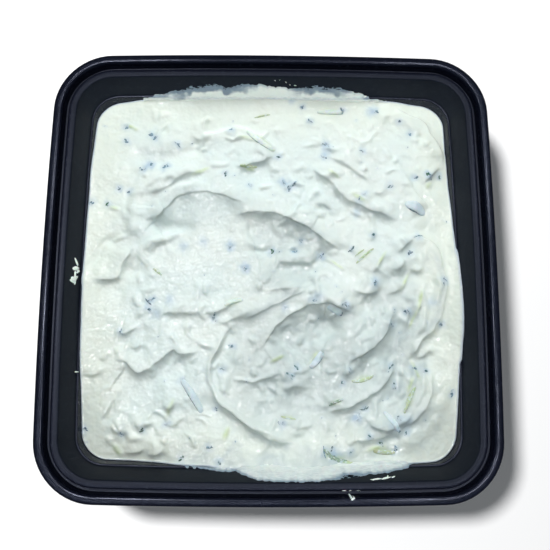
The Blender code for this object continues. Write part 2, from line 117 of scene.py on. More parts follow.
class Finish:
    """One material, with a Principled shader at its end."""

    def __init__(self, name, **sockets):
        self.material = bpy.data.materials.new(name)
        self.material.use_nodes = True
        self.nodes = self.material.node_tree.nodes
        self.links = self.material.node_tree.links
        self.shader = self.nodes["Principled BSDF"]
        for socket, value in sockets.items():
            self.feed(self.shader.inputs[socket.replace("_", " ")], value)

    def feed(self, socket, value):
        if isinstance(value, Wire):
            self.links.new(value.socket, socket)
        elif isinstance(value, (tuple, list)) and len(value) == 3 and socket.type == "RGBA":
            socket.default_value = (*value, 1.0)
        else:
            socket.default_value = value

    def node(self, kind, settings=None, inputs=None):
        made = self.nodes.new(kind)
        for name, value in (settings or {}).items():
            setattr(made, name, value)
        for name, value in (inputs or {}).items():
            self.feed(made.inputs[name], value)
        return {out.name: Wire(self, out) for out in made.outputs if out.enabled}

    def place(self):
        return self.node("ShaderNodeTexCoord")["Object"]

    def noise(self, scale, detail=2.0, roughness=0.5, where=None):
        inputs = {"Vector": where or self.place(), "Scale": scale, "Detail": detail, "Roughness": roughness}
        return self.node("ShaderNodeTexNoise", None, inputs)["Fac"]

    def between(self, value, low, high):
        """0 below low, 1 above high, and a smooth step between."""
        settings = {"interpolation_type": "SMOOTHSTEP"}
        return self.node("ShaderNodeMapRange", settings, {"Value": value, 1: low, 2: high})["Result"]

    def mix(self, factor, first, second, blend="MIX"):
        settings = {"data_type": "RGBA", "blend_type": blend}
        return self.node("ShaderNodeMix", settings, {0: factor, 6: first, 7: second})["Result"]

    def attribute(self, name, output="Fac"):
        return self.node("ShaderNodeAttribute", {"attribute_name": name})[output]

    def bump(self, height, distance, strength=1.0):
        inputs = {"Height": height, "Distance": distance, "Strength": strength}
        self.feed(self.shader.inputs["Normal"], self.node("ShaderNodeBump", None, inputs)["Normal"])

    def set(self, socket, value):
        self.feed(self.shader.inputs[socket], value)


print("shader helpers ready")

# %% [markdown]
# The floor is a plain white sheet that glows a little, as a light table does, so that it stays white
# beside the shadow. Light linking lets one lamp reach the floor alone: it hangs at the upper left and
# throws the tray's shadow to the lower right. The lamps for the part don't reach the floor. The main
# one stands beyond the far side and shades the near side of every fold, and two large soft ones fill
# in. None of the three shows as a highlight, since a wide lamp would lie on the wet dip as a broad
# sheen. The glints come from a grid of tiny lamps instead, which give nothing else.


# %% Floor and lamps
bm = bmesh.new()
bmesh.ops.create_grid(bm, x_segments=2, y_segments=2, size=1.5)
sheet = bpy.data.meshes.new("floor")
bm.to_mesh(sheet)
bm.free()
floor = bpy.data.objects.new("floor", sheet)
bpy.context.scene.collection.objects.link(floor)
paper = Finish("white paper", Roughness=0.9, Specular_IOR_Level=0.1, Emission_Color=(1, 1, 1),
               Emission_Strength=0.06)
grain = paper.noise(900.0)
paper.set("Base Color", paper.mix(grain, (0.97, 0.97, 0.97), (0.985, 0.985, 0.985)))
floor.data.materials.append(paper.material)


def lamp(name, place, size, watts, lights_floor=False, colour=(1, 1, 1), aim=(0, 0, 0), long=None):
    """An area lamp, round, or a strip where a length along its own y axis is given."""
    data = bpy.data.lights.new(name, "AREA")
    data.shape = "RECTANGLE" if long else "DISK"
    data.size = size
    data.size_y = long or size
    data.energy = watts
    data.color = colour
    made = bpy.data.objects.new(name, data)
    made.location = place
    made.rotation_euler = (Vector(place) - Vector(aim)).to_track_quat("Z", "Y").to_euler()
    bpy.context.scene.collection.objects.link(made)
    lit = bpy.data.collections.new(name + " lights")
    lit.objects.link(floor)
    lit.collection_objects[0].light_linking.link_state = "INCLUDE" if lights_floor else "EXCLUDE"
    made.light_linking.receiver_collection = lit
    return made


def only_for(made, piece):
    """Make a lamp light this piece and nothing else."""
    lit = made.light_linking.receiver_collection
    lit.objects.link(piece)
    lit.collection_objects[-1].light_linking.link_state = "INCLUDE"


GLINT_HEIGHT = 0.62
GLINT_SPACING = 0.1
GLINT_ROWS = 6
lamp("floor lamp", (-0.34, 0.215, 0.80), 0.13, 9.3, lights_floor=True)
main_lamp = lamp("main lamp", (0.03, 0.52, 0.46), 0.50, 3.9)
fill_lamp = lamp("fill lamp", (-0.20, 0.05, 0.75), 0.50, 1.05)
top_lamp = lamp("top lamp", (0.0, 0.015, GLINT_HEIGHT), 0.55, 0.95)
for soft in (main_lamp, fill_lamp, top_lamp):
    soft.visible_glossy = False
for column in range(GLINT_ROWS):
    for row in range(GLINT_ROWS):
        y = GLINT_SPACING * row - 0.235
        x = GLINT_SPACING * column - 0.27 + 0.2 * y
        glint = lamp("glint lamp", (x, y, GLINT_HEIGHT), 0.025, 0.06, colour=(1.0, 0.94, 0.96))
        glint.visible_diffuse = False

world = bpy.data.worlds.new("studio")
world.use_nodes = True
background = world.node_tree.nodes["Background"]
background.inputs["Color"].default_value = (0.88, 0.95, 1.0, 1.0)
background.inputs["Strength"].default_value = 0.12
bpy.context.scene.world = world

# %% [markdown]
# ## The tray
#
# It was formed from one thin sheet, so it has one outline at every height: a square with round
# corners and sides that bow out slightly. Its section does the rest: flat floor, lower wall, a narrow
# ledge, the upper wall, a raised ridge, a groove and the rolled lip with its short skirt. A ring of
# points is made for each point of the section and neighbouring rings are bridged, which keeps the
# corner arcs exact at every height. Each bend of the section is rounded first, because it is in those
# small radii that the black plastic catches light.

# %% Tray sizes
HALF = 88.5
SIDE_BOW = 1.5
CORNER_RADIUS = 22.5
TRAY_HEIGHT = 45.0
CORNER_STEPS = 14
SIDE_STEPS = 10

# inset, depth, radius of the bend, gloss
INSIDE = [
    (26.0, 44.0, 0.0, 0.2),
    (15.2, 44.0, 6.5, 0.2),
    (12.2, 13.1, 0.25, 0.9),
    (11.4, 12.9, 0.4, 0.5),
    (8.5, 2.0, 0.8, 0.2),
    (5.5, 1.95, 0.7, 1.0),
    (5.3, 4.5, 0.3, 0.5),
    (3.9, 4.45, 0.3, 0.5),
    (3.4, 0.0, 1.1, 1.0),
    (0.0, 0.02, 1.1, 1.0),
    (0.0, 6.0, 0.15, 0.8),
]
OUTSIDE = [
    (1.0, 5.95, 0.15, 0.8),
    (1.0, 1.2, 0.2, 0.8),
    (2.5, 1.0, 0.4, 0.8),
    (2.9, 5.5, 0.5, 0.5),
    (7.6, 5.52, 0.5, 0.5),
    (10.5, 13.9, 0.4, 0.5),
    (11.2, 14.1, 0.4, 0.5),
    (14.2, 45.0, 6.5, 0.2),
    (26.0, 45.05, 0.0, 0.2),
]
print("tray", 2 * (HALF + SIDE_BOW), "mm across")


# %% Round the section's bends
def with_round_bends(section, steps=5):
    """Replaces each corner of the section by a short curve, and keeps the gloss beside each point."""
    rounded = [section[0][:2] + section[0][3:]]
    for before, (inset, depth, radius, gloss), after in zip(section, section[1:], section[2:]):
        corner = Vector((inset, depth))
        back = Vector(before[:2]) - corner
        ahead = Vector(after[:2]) - corner
        start = corner + back.normalized() * min(radius, 0.49 * back.length)
        end = corner + ahead.normalized() * min(radius, 0.49 * ahead.length)
        for step in range(steps + 1):
            t = step / steps
            point = start.lerp(corner, t).lerp(corner.lerp(end, t), t)
            rounded.append((point.x, point.y, gloss))
    rounded.append(section[-1][:2] + section[-1][3:])
    return rounded


section = with_round_bends(INSIDE + OUTSIDE)
print(len(section), "points in the section")


# %% One ring of the outline
def outline(inset):
    """Points round the tray at this inset."""
    half = HALF - inset
    radius = max(CORNER_RADIUS - inset, 4.0)
    centre = half - radius
    arc = [step / CORNER_STEPS * math.pi / 2 for step in range(CORNER_STEPS + 1)]
    corner = [(centre + radius * math.cos(a), centre + radius * math.sin(a)) for a in arc]
    side = [(centre - 2 * centre * step / SIDE_STEPS, half) for step in range(1, SIDE_STEPS)]
    x, y = np.array(corner + side).T
    return bowed(np.concatenate([x, -y, -x, y]), np.concatenate([y, x, -y, -x]), half)


def bowed(x, y, half):
    """The tray's sides bow out by SIDE_BOW in their middles."""
    bow = SIDE_BOW / half
    return x * (1 + bow * (1 - (y / half) ** 2)), y * (1 + bow * (1 - (x / half) ** 2))


print("a ring has", len(outline(0)[0]), "points")


# %% Bridge the rings
def finish_object(bm, name):
    mesh = bpy.data.meshes.new(name)
    bm.to_mesh(mesh)
    bm.free()
    made = bpy.data.objects.new(name, mesh)
    bpy.context.scene.collection.objects.link(made)
    mesh.shade_smooth()
    return made


def ring(bm, layer, inset, depth, gloss):
    """The edges of one ring of the tray, each point with its gloss."""
    x, y = outline(inset)
    verts = [bm.verts.new((a * MM, b * MM, (TRAY_HEIGHT - depth) * MM)) for a, b in zip(x, y)]
    for vert in verts:
        vert[layer] = gloss
    return [bm.edges.new(pair) for pair in zip(verts, verts[1:] + verts[:1])]


LEAST_STEP = 0.012
bm = bmesh.new()
gloss_layer = bm.verts.layers.float.new("gloss")
rings = []
for inset, depth, gloss in section:
    level = rings and abs(depth - rings[-1][1]) < LEAST_STEP
    depth = rings[-1][1] + LEAST_STEP if level else depth
    rings.append((ring(bm, gloss_layer, inset, depth, gloss), depth))
for (first, _), (second, _) in zip(rings, rings[1:]):
    bmesh.ops.bridge_loops(bm, edges=first + second)
for end in (rings[0][0], rings[-1][0]):
    bmesh.ops.contextual_create(bm, geom=end)
bmesh.ops.recalc_face_normals(bm, faces=bm.faces)
if bm.calc_volume(signed=True) < 0:
    bmesh.ops.reverse_faces(bm, faces=bm.faces)
longest = max(edge.calc_length() for edge in bm.edges) / MM
tray_tree = BVHTree.FromBMesh(bm)
tray = finish_object(bm, "black_tray")
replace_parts(tray, "tray")
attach(tray, "root")
print("tray:", len(tray.data.polygons), "faces, longest edge", round(longest, 1), "mm")

# %% [markdown]
# The plastic is blue-black. The lip and the ridge were polished by the mould and reflect the lamps,
# and the walls are satin and look darker and a little green. The polished bands also get a lighter,
# bluer base colour than the walls, a painted sheen. Fine scuffs from stacking break the highlights up:
# a noise makes the roughness uneven, and the lip's edge has tiny waves in its surface.
#
# The main lamp is there for the dip and would turn the tray grey, so light linking keeps it off the
# tray. The tray doesn't shade the dip from it either. The tray has lamps of its own, which reach
# nothing else: four long thin strips, reflected as lines along the lip and the ridge, and four small
# ones for the short bright spots.

# %% Black plastic
plastic = Finish("black plastic", Specular_IOR_Level=0.18, Specular_Tint=(0.62, 0.74, 1.0))
gloss = plastic.attribute("gloss")
cloud = plastic.noise(55.0, 3.0)
scuffs = plastic.between(plastic.noise(420.0, 4.0, 0.65), 0.5, 0.75)
# painted sheen: the polished lip and ridge get a lighter, bluer base colour than the satin walls
sheen_base = plastic.mix(gloss, (0.0050, 0.0080, 0.0150), (0.0070, 0.0085, 0.0190))
plastic.set("Base Color", plastic.mix(scuffs * 0.10, sheen_base, (0.07, 0.08, 0.10)))
plastic.set("Roughness", 0.58 - 0.44 * gloss + 0.08 * cloud + 0.08 * scuffs)
plastic.bump(plastic.noise(260.0, 3.0) + 0.35 * plastic.noise(1700.0, 2.0), 0.00012, 0.5)
tray.data.materials.append(plastic.material)
print("plastic:", len(plastic.nodes), "nodes")

# %% Lamps for the tray
missed = main_lamp.light_linking.receiver_collection
missed.objects.link(tray)
missed.collection_objects[1].light_linking.link_state = "EXCLUDE"
unblocked = bpy.data.collections.new("main lamp passes")
unblocked.objects.link(tray)
unblocked.collection_objects[0].light_linking.link_state = "EXCLUDE"
main_lamp.light_linking.blocker_collection = unblocked
STRIPS = [((-0.30, 0, 0.72), 0), ((0.34, 0, 0.72), 0), ((0, 0.30, 0.70), 90), ((0, -0.36, 0.70), 90)]
for place, turn in STRIPS:
    strip = lamp("ceiling strip", place, 0.02, 0.2, colour=(0.75, 0.86, 1.0), long=1.2)
    strip.rotation_euler = (0, 0, math.radians(turn))
    only_for(strip, tray)
for x, y, watts in ((-0.17, 0.21, 0.7), (-0.18, 0.02, 1.8), (0.20, 0.20, 0.8), (0.20, -0.11, 0.8)):
    aim = (x * 0.4, y * 0.4, 0)
    spark = lamp("lip lamp", (x, y, GLINT_HEIGHT), 0.035, watts, colour=(1.0, 0.90, 0.85), aim=aim)
    spark.visible_diffuse = False
    only_for(spark, tray)
print(len(STRIPS), "strips for the tray")

# %% [markdown]
# ## The dip's relief
#
# Thick yoghurt keeps the marks of the spoon. Almost every mark here is a fold: one sheet pushed over
# another, with a raised lip on one side of a line and a hollow on the other. So the surface is
# written as a height over the tray, and each fold adds its own share: a lip that fades backwards, a
# sudden drop, and a hollow that fades forwards. The lines were drawn along what the photograph
# shows. Round ridges, bumps and hollows are added the same way, and then the small unevenness of the
# dip itself.


# %% Smooth lines and distances
def smooth_path(points, per_span=6):
    """Points along a Catmull-Rom curve through the given ones."""
    p = np.array(points, float)
    p = np.vstack([2 * p[0] - p[1], p, 2 * p[-1] - p[-2]])
    t = (np.arange(per_span) / per_span)[:, None]
    spans = [
        b + 0.5 * t * (c - a + t * (2 * a - 5 * b + 4 * c - d + t * (3 * b - a - 3 * c + d)))
        for a, b, c, d in zip(p, p[1:], p[2:], p[3:])
    ]
    return np.vstack(spans + [p[-2]])


def measure_from(x, y, line, reach):
    """For the places within reach of the line: their numbers, signed distance (left is positive), the fade
    towards its ends, and the direction across it."""
    path = smooth_path(line)
    low = path.min(axis=0) - reach
    high = path.max(axis=0) + reach
    near = np.flatnonzero((x > low[0]) & (x < high[0]) & (y > low[1]) & (y < high[1]))
    places = np.stack([x[near], y[near]], axis=-1)
    steps = np.diff(path, axis=0)
    lengths = np.hypot(*steps.T)
    starts = np.concatenate([[0.0], np.cumsum(lengths)])
    distance = np.full(len(places), np.inf)
    side = np.ones(len(places))
    along = np.zeros(len(places))
    across = np.zeros_like(places)
    for corner, step, length, start in zip(path, steps, lengths, starts):
        away = places - corner
        t = np.clip(away @ step / length**2, 0, 1)
        gap = np.hypot(away[:, 0] - t * step[0], away[:, 1] - t * step[1])
        closer = gap < distance
        distance[closer] = gap[closer]
        side[closer] = np.where(step[0] * away[closer, 1] < step[1] * away[closer, 0], -1, 1)
        along[closer] = start + t[closer] * length
        across[closer] = (-step[1] / length, step[0] / length)
    fade = np.clip(np.minimum(along, starts[-1] - along) / min(8.0, 0.45 * starts[-1]), 0, 1)
    return near, distance * side, fade * fade * (3 - 2 * fade), across


print("a line of 4 points becomes", len(smooth_path([(0, 0), (1, 0), (2, 1), (3, 1)])), "points")

# %% Folds: lip, drop and softness of the edge, then the line, with the high sheet on the left
FOLDS = {
    "main arc": (1.6, 3.8, 3.2, [(-17, 24), (-12, 26.5), (-6, 27.5), (1, 27), (8, 24.5), (17.5, 19.5),
        (26.5, 13), (31, 9)]),
    "upper arc": (1.5, 3.2, 7.0, [(-56, 13), (-53, 19), (-45, 29), (-41, 33), (-33.5, 35.5),
        (-24, 35.5), (-14, 32), (-6, 28)]),
    "inner ring": (0.9, 1.3, 0.7, [(-53.5, 32), (-50.5, 34.5), (-46, 36.5), (-42.5, 38.5), (-39, 41.5),
        (-34, 43.5), (-28, 47)]),
    "curled tip": (1.6, 2.4, 0.5, [(-54.5, 20), (-51.5, 24), (-47, 26), (-48, 30), (-50.5, 32)]),
    "north-west bump": (0.7, 0.8, 0.7, [(-36, 62.5), (-32.5, 59), (-28, 58.5), (-24.5, 60.5)]),
    "top lobe": (1.2, 0.8, 0.4, [(3.5, 50.5), (0.5, 54.5), (-3.5, 58), (-8, 61), (-13, 63), (-19, 62),
        (-25, 60), (-31.5, 58.5)]),
    "top shred": (0.5, 0.9, 0.7, [(-10, 55.5), (-6, 54), (-2, 51.5), (2.5, 49.5)]),
    "slit": (1.3, 2.4, 0.8, [(-18, 46), (-9, 48), (-2, 50.5), (3, 52)]),
    "north-east run": (1.5, 2.0, 0.7, [(16.5, 47.5), (21, 44), (25.5, 40.5), (30, 36), (33.5, 32.5),
        (38, 30.5), (43, 28), (48, 26.5), (55, 22.5)]),
    "under run": (1.0, 1.9, 1.0, [(16, 31.5), (22, 31), (26, 28.5), (32, 29)]),
    "north-east crease": (0.9, 0.6, 0.35, [(23, 52.5), (32, 48.5), (37, 44.5), (41, 41.5), (44.5, 38)]),
    "crumple": (0.6, 1.0, 0.5, [(43.5, 37), (46.5, 35.5), (48.5, 38)]),
    "north-east valley": (0.8, 0.7, 0.5, [(68.5, 28), (64, 32.5), (60, 38), (57, 43.5), (51.5, 50.5)]),
    "corner lobe": (1.1, 0.9, 0.6, [(73.5, 47.5), (74.5, 51.5), (73.5, 55.5), (71.5, 59), (69, 62.5),
        (68, 65.5), (65, 68), (61, 69.5), (57.5, 71.5), (53, 74)]),
    "corner fold": (1.1, 1.3, 0.4, [(64, 38), (68, 42.5), (70, 45), (73.5, 48.5)]),
    "right arc": (1.2, 1.7, 0.8, [(55.5, -36.5), (61, -29), (64.5, -25), (68, -21.5), (70.5, -17),
        (72, -10.5), (72.5, -3.5), (71.5, 2.5), (70, 9.5), (66.5, 13.5), (61.5, 16), (56.5, 17)]),
    "upper flap": (1.3, 1.7, 0.35, [(52, 8.5), (54.5, 10.5), (57, 13), (59, 15.5), (59.5, 17)]),
    "lower flap": (1.3, 1.6, 0.35, [(49, 4.5), (50.5, 3), (53.5, 3), (55.5, 5), (56, 8)]),
    "flap's tail": (0.5, 0.6, 0.4, [(50, 3), (52.5, 0.5), (56, -3)]),
    "right knob": (0.9, 1.1, 0.4, [(58, 4.5), (60, 2.5), (62.5, 2), (63.5, 5)]),
    "middle lobe": (1.3, 1.8, 0.7, [(34, -4.5), (36.5, -7), (40, -7.5), (44, -7), (46.5, -3.5)]),
    "middle crease": (0.7, 0.7, 0.4, [(47.5, -8.5), (53, -6.5), (56, -3), (57, 0)]),
    "chunk bed": (1.0, 1.9, 0.5, [(19, -11.5), (22.5, -9.5), (26.5, -11), (30, -13.5), (31.5, -17)]),
    "under the chunk": (0.4, 1.2, 0.6, [(20, -16), (24.5, -17.5), (29, -17)]),
    "low hump": (1.4, 5.2, 4.0, [(-5, -33), (-3, -29), (-1, -24.5), (3, -20), (8, -16.5), (14, -13),
        (20, -11.5), (27, -12), (33, -15), (37, -18.5)]),
    "middle lip": (0.6, 0.9, 1.0, [(-4.5, -8.5), (0.5, -6.5), (6, -5.5), (11, -5.5), (17.5, -4)]),
    "pit wall": (0.9, 2.8, 2.5, [(-15, -19.5), (-9, -18), (-4, -15.5), (1, -12.5), (7, -9.5), (13, -7),
        (18, -4)]),
    "low strand": (0.9, 0.9, 0.5, [(-25, -18), (-19.5, -20), (-14.5, -18.5), (-4.5, -14)]),
    "high strand": (1.0, 1.1, 0.35, [(-30.5, -17), (-26, -16.5), (-22, -15.5), (-17, -13),
        (-12, -11.5)]),
    "west lip": (1.1, 1.2, 0.8, [(-48, -20.5), (-44.5, -17), (-41, -16), (-35.5, -16.5), (-26.5, -16)]),
    "hook's foot": (0.5, 1.4, 0.5, [(0.5, 6.5), (5, 5.5), (11, 5), (16.5, 5.5), (19, 8), (18.5, 12)]),
    "left lobe": (1.3, 1.2, 0.6, [(-75.5, -2), (-66, -2.5), (-63.5, -0.5), (-62.5, 3.5), (-59, 9.5),
        (-55.5, 11.5)]),
    "inner west": (0.4, 1.1, 0.5, [(-53, 6), (-51.5, 8.5), (-49, 11), (-45.5, 13.5), (-39.5, 15)]),
    "west tip": (0.8, 1.3, 0.5, [(-64, -22.5), (-61.5, -24.5), (-59, -24.5), (-55.5, -22.5),
        (-53.5, -19.5)]),
    "south-west lobe": (1.5, 2.1, 0.45, [(-64, -34.5), (-61.5, -36), (-58.5, -36.5), (-56, -39),
        (-53.5, -40.5), (-49.5, -38.5), (-46.5, -36.5), (-43, -33.5), (-40, -31.5), (-37.5, -32.5),
        (-34, -32.5), (-29.5, -33)]),
    "south-west nick": (0.6, 0.9, 0.35, [(-58.5, -29), (-55.5, -31), (-52, -28.5)]),
    "smooth edge, west": (0.6, 0.5, 0.4, [(-77.5, -42.5), (-74, -42), (-70.5, -41.5), (-66.5, -38.5)]),
    "south-west valley": (0.5, 1.0, 0.9, [(-69, -64), (-68, -59.5), (-65, -54.5), (-60, -46.5)]),
    "south lump 1": (0.7, 0.9, 0.4, [(-60, -72.5), (-57, -73), (-53.5, -72.5), (-49.5, -70)]),
    "south lump 2": (0.8, 1.1, 0.4, [(-49.5, -72.5), (-47.5, -73.5), (-45, -73), (-42, -70.5)]),
    "south lump 3": (0.8, 1.1, 0.5, [(-43.5, -52.5), (-40.5, -55), (-38, -52)]),
    "south lump 4": (0.7, 0.8, 0.5, [(-43.5, -61), (-39.5, -61.5), (-36.5, -60), (-33, -58)]),
    "south lump 5": (0.6, 0.8, 0.5, [(-51, -60.5), (-48.5, -61.5), (-46, -60.5)]),
    "loop, south": (1.0, 1.9, 0.6, [(-24, -46), (-21, -52), (-16.5, -56), (-11.5, -59.5), (-6, -63.5),
        (0, -66.5), (6, -68), (12, -68.5)]),
    "loop, west": (0.6, 1.2, 0.45, [(-25, -45.5), (-25, -41), (-24.5, -36.5), (-21.5, -31),
        (-17.5, -23.5), (-12, -19.5)]),
    "inner lip": (1.0, 1.4, 0.45, [(-11, -46), (-7.5, -44.5), (-3.5, -43.5), (0.5, -42), (4.5, -41.5),
        (6, -43)]),
    "inner shelf": (0.8, 1.3, 0.8, [(4, -47.5), (7.5, -46.5), (11, -46), (17, -47.5)]),
    "inner slope": (0.5, 0.9, 1.0, [(-8, -52.5), (-3.5, -52), (1, -52.5)]),
    "inner turn": (0.6, 0.7, 0.5, [(-2.5, -27), (-1, -32), (2, -36), (4.5, -39)]),
    "inner edge": (0.7, 0.9, 0.4, [(6, -65), (10, -63.5), (15, -62), (20.5, -60.5)]),
    "south-east lobe": (1.6, 2.4, 1.0, [(30, -37), (36, -34), (42, -30), (47, -25), (49.5, -19),
        (51, -13)]),
    "south-east tip": (1.1, 1.3, 0.5, [(29, -40), (31, -41), (33, -40), (34.5, -37)]),
    "south-east sweep": (1.3, 1.7, 0.5, [(21, -57.5), (25.5, -56), (31.5, -54), (37, -51.5), (43, -48),
        (47.5, -44), (50, -39), (49.5, -34.5)]),
    "south-east bowl": (1.0, 1.3, 0.4, [(37, -56.5), (39.5, -59), (43, -62), (47.5, -63), (52, -61.5),
        (56, -58.5), (59, -54)]),
    "south-east rim": (0.8, 1.0, 0.4, [(31.5, -67), (35.5, -67.5), (39.5, -67.5), (46, -66),
        (51.5, -63.5)]),
    "swirl's edge": (0.8, 1.6, 0.8, [(52, -63.5), (55, -61.5), (58.5, -59.5), (62.5, -55.5),
        (65, -50.5), (66, -43), (65, -37.5)]),
    "swirl's end": (0.8, 1.1, 0.35, [(60.5, -32.5), (61.5, -34), (63.5, -33.5), (65.5, -30.5)]),
}
print(len(FOLDS), "folds")

# %% Ridges, and troughs where the height is negative: height, half width and the line along the top
RIDGES = {
    "outer ring": (1.5, 2.4, [(-57.5, 11.5), (-58, 19), (-58.5, 26), (-57.5, 30.5), (-55.5, 35.5),
        (-51, 39), (-46, 41.5), (-39, 43.5), (-29, 46)]),
    "second ring": (0.9, 2.0, [(-51.5, 28), (-47, 32), (-42, 35.5), (-36, 37.5), (-25, 38.5)]),
    "west ridge": (1.4, 1.7, [(-55, 7.5), (-52.5, 11), (-50, 13), (-45.5, 15), (-40.5, 16.5),
        (-33.5, 18.5)]),
    "hook": (1.3, 2.0, [(1.5, 7.5), (8.5, 7), (13.5, 7.5), (17, 9), (16.5, 12), (13.5, 14)]),
    "loop's rim": (1.0, 0.9, [(-17.5, -23), (-21.5, -31), (-24.5, -36.5), (-25, -42), (-23.5, -47),
        (-20.5, -52), (-16.5, -55.5), (-11.5, -59), (-6.5, -62.5), (-0.5, -64.5), (3.5, -66.5),
        (8, -67)]),
    "south-west sheen": (0.6, 1.2, [(-46.5, -42.5), (-41.5, -39.5), (-39, -36), (-34.5, -33.5),
        (-26.5, -30.5)]),
    "west spur": (0.8, 1.2, [(-54.5, -5.5), (-55, -2), (-57, 0.5)]),
    "right strand 1": (0.9, 1.2, [(62, -6), (64.5, -12), (64, -18.5), (60.5, -25), (56, -30.5)]),
    "right strand 2": (0.9, 1.2, [(58.5, -7.5), (61, -14), (60, -21), (56.5, -26.5), (52.5, -31)]),
    "right strand 3": (0.9, 1.2, [(55, -10), (57, -16.5), (55.5, -23), (52.5, -28)]),
    "right strand 4": (0.9, 1.3, [(62.5, -32.5), (63, -39.5), (62.5, -47), (59.5, -53.5),
        (56.5, -57.5)]),
    "right strand 5": (0.9, 1.3, [(58.5, -35), (59.5, -41.5), (58.5, -47.5), (56, -53.5), (52.5, -57)]),
    "right strand 6": (0.9, 1.3, [(54, -36.5), (55, -42), (54.5, -47.5), (52, -52.5)]),
    "right strand 7": (0.8, 1.4, [(68, 5), (70, -1.5), (69.5, -9), (67, -16)]),
    "south-east bank": (1.4, 4.5, [(71, -38), (70, -48.5), (68, -55), (63, -61), (57, -66.5),
        (49, -70)]),
    "east bank": (0.7, 4.0, [(77, 21), (77.5, 6), (77, -11), (75.5, -31.5)]),
    "north-east band": (0.9, 3.0, [(42, 69), (49.5, 70.5), (56, 69.5), (62, 65.5), (65, 60.5)]),
    "middle roll": (0.8, 2.5, [(26.5, -29.5), (33.5, -25.5), (39, -20), (42, -14.5)]),
    "low roll": (0.5, 2.5, [(-3.5, -34.5), (6, -31.5), (17, -31), (26.5, -27.5)]),
    "north-west bowl": (-1.3, 3.0, [(-60.5, 55), (-57, 51.5), (-52, 49.5), (-45.5, 49.5), (-39, 51.5),
        (-32.5, 55), (-27.5, 59)]),
    "crease by the ring": (-0.7, 1.3, [(-62, 27), (-61, 33.5), (-59.5, 38.5), (-57, 44),
        (-53.5, 46.5)]),
    "crease in the corner": (-0.8, 1.2, [(66, 63.5), (65.5, 60.5), (63, 56.5)]),
    "crease above the hook": (-1.3, 1.5, [(-11.5, 13), (-8.5, 10.5), (-3.5, 9.5), (0, 10), (3.5, 8.5)]),
    "slot in the hook": (-1.3, 1.0, [(7.5, 10), (11.5, 10)]),
    "left crease": (-0.8, 1.5, [(-75, -1.5), (-74, 4.5), (-72, 8.5), (-69, 13.5), (-63, 17)]),
    "outside the loop": (-0.6, 1.0, [(-17, -57.5), (-13.5, -60), (-11, -62), (-9.5, -66)]),
    "upright crease": (-0.8, 1.0, [(-59, -63), (-58.5, -70.5)]),
    "south-east shoulder": (0.8, 2.6, [(30, -66.5), (40, -66), (50, -63), (58, -58)]),
    "below the rim": (-1.3, 3.0, [(18, -73), (26, -75), (36, -75.5), (46, -74.5), (54, -71.5)]),
}
print(len(RIDGES), "ridges and troughs")

# %% Bumps, and hollows where the height is negative: height, middle and reach in x and y
BUMPS = [
    (-1.6, -50, 23, 2.9, 3.3), (-1.4, -41.5, 20, 7, 2.5), (-1.4, 14, -50, 28, 14),
    (-1.0, 52, -30, 12, 22), (-0.9, -58, 1, 4.5, 2.5), (-1.2, 23.5, 29, 3.7, 2.5),
    (-0.9, -66.5, 13, 2.5, 2.5), (0.9, -45.5, 57.5, 6.6, 3.7), (0.8, -30.5, 64.5, 3.7, 2.9),
    (1.0, 60, 6.5, 3.3, 3.7), (1.0, 59.5, -5, 4.1, 3.7), (1.2, 24.5, -15, 4.5, 2.5),
    (1.0, 45.5, -40.5, 3.3, 4.9), (0.9, 43.5, -4, 2, 2), (0.9, -41.5, -49, 4.1, 6.6),
    (0.9, -61.5, -60.5, 4.1, 4.9), (0.8, -46, -70, 3.7, 3.7), (0.8, -23, -63.5, 4.9, 4.9),
    (0.8, 8.5, 18, 1.6, 1.6), (0.7, 16.5, 68, 2, 1.6),
]
SIDE_SWELLS = [
    (1.6, -80, -15, 7, 32), (6.6, 82, -12, 7, 26), (-4.0, 82, 46, 7, 20), (2.0, -5, 82, 36, 6),
    (-3.0, 66, 84, 16, 7), (-2.0, -64, 84, 14, 7), (4.8, 10, -90, 42, 20), (-3.8, -57, -86, 18, 14),
    (-2.5, -82, -55, 7, 12),
]
print(len(BUMPS), "bumps and hollows")

# %% [markdown]
# Under the yoghurt lies grated cucumber, so the surface is also full of small coated shreds: low,
# narrow ridges a few millimetres long. They crowd the right half and the top, and the spoon wiped the
# middle of the left half nearly smooth. They are scattered by a seeded rule with that in mind. Those
# that show a little green are listed.


# %% Unevenness
SWIRL = (18, -18)


def lumps(x, y, size, seed):
    """Random smooth heights, about -1 to 1, with lumps of this size."""
    lattice = np.random.default_rng(seed).uniform(-1, 1, (256, 256))
    u = x / size + 128
    v = y / size + 128
    i = np.floor(u).astype(int)
    j = np.floor(v).astype(int)
    s = u - i
    t = v - j
    s = s * s * s * (s * (6 * s - 15) + 10)
    t = t * t * t * (t * (6 * t - 15) + 10)
    corner = [lattice[(i + a) % 256, (j + b) % 256] for a, b in ((0, 0), (1, 0), (0, 1), (1, 1))]
    return (corner[0] * (1 - s) + corner[1] * s) * (1 - t) + (corner[2] * (1 - s) + corner[3] * s) * t


def wiped(x, y):
    """1 where the spoon left the surface smooth."""
    middle = np.exp(-(((x + 27) / 24) ** 2) - (((y - 1) / 13) ** 2))
    band = np.exp(-(((x + 18) / 22) ** 2) - (((y - 30) / 7) ** 2))
    left = np.exp(-(((x + 72) / 7) ** 2) - (((y + 20) / 30) ** 2))
    corner = np.exp(-(((x + 66) / 12) ** 2) - (((y - 55) / 25) ** 2))
    border = 0.8 * np.clip((np.maximum(np.abs(x), np.abs(y)) - 64) / 8, 0, 1)
    return np.clip(middle + 0.8 * band + 0.8 * left + 0.8 * corner + border, 0, 1)


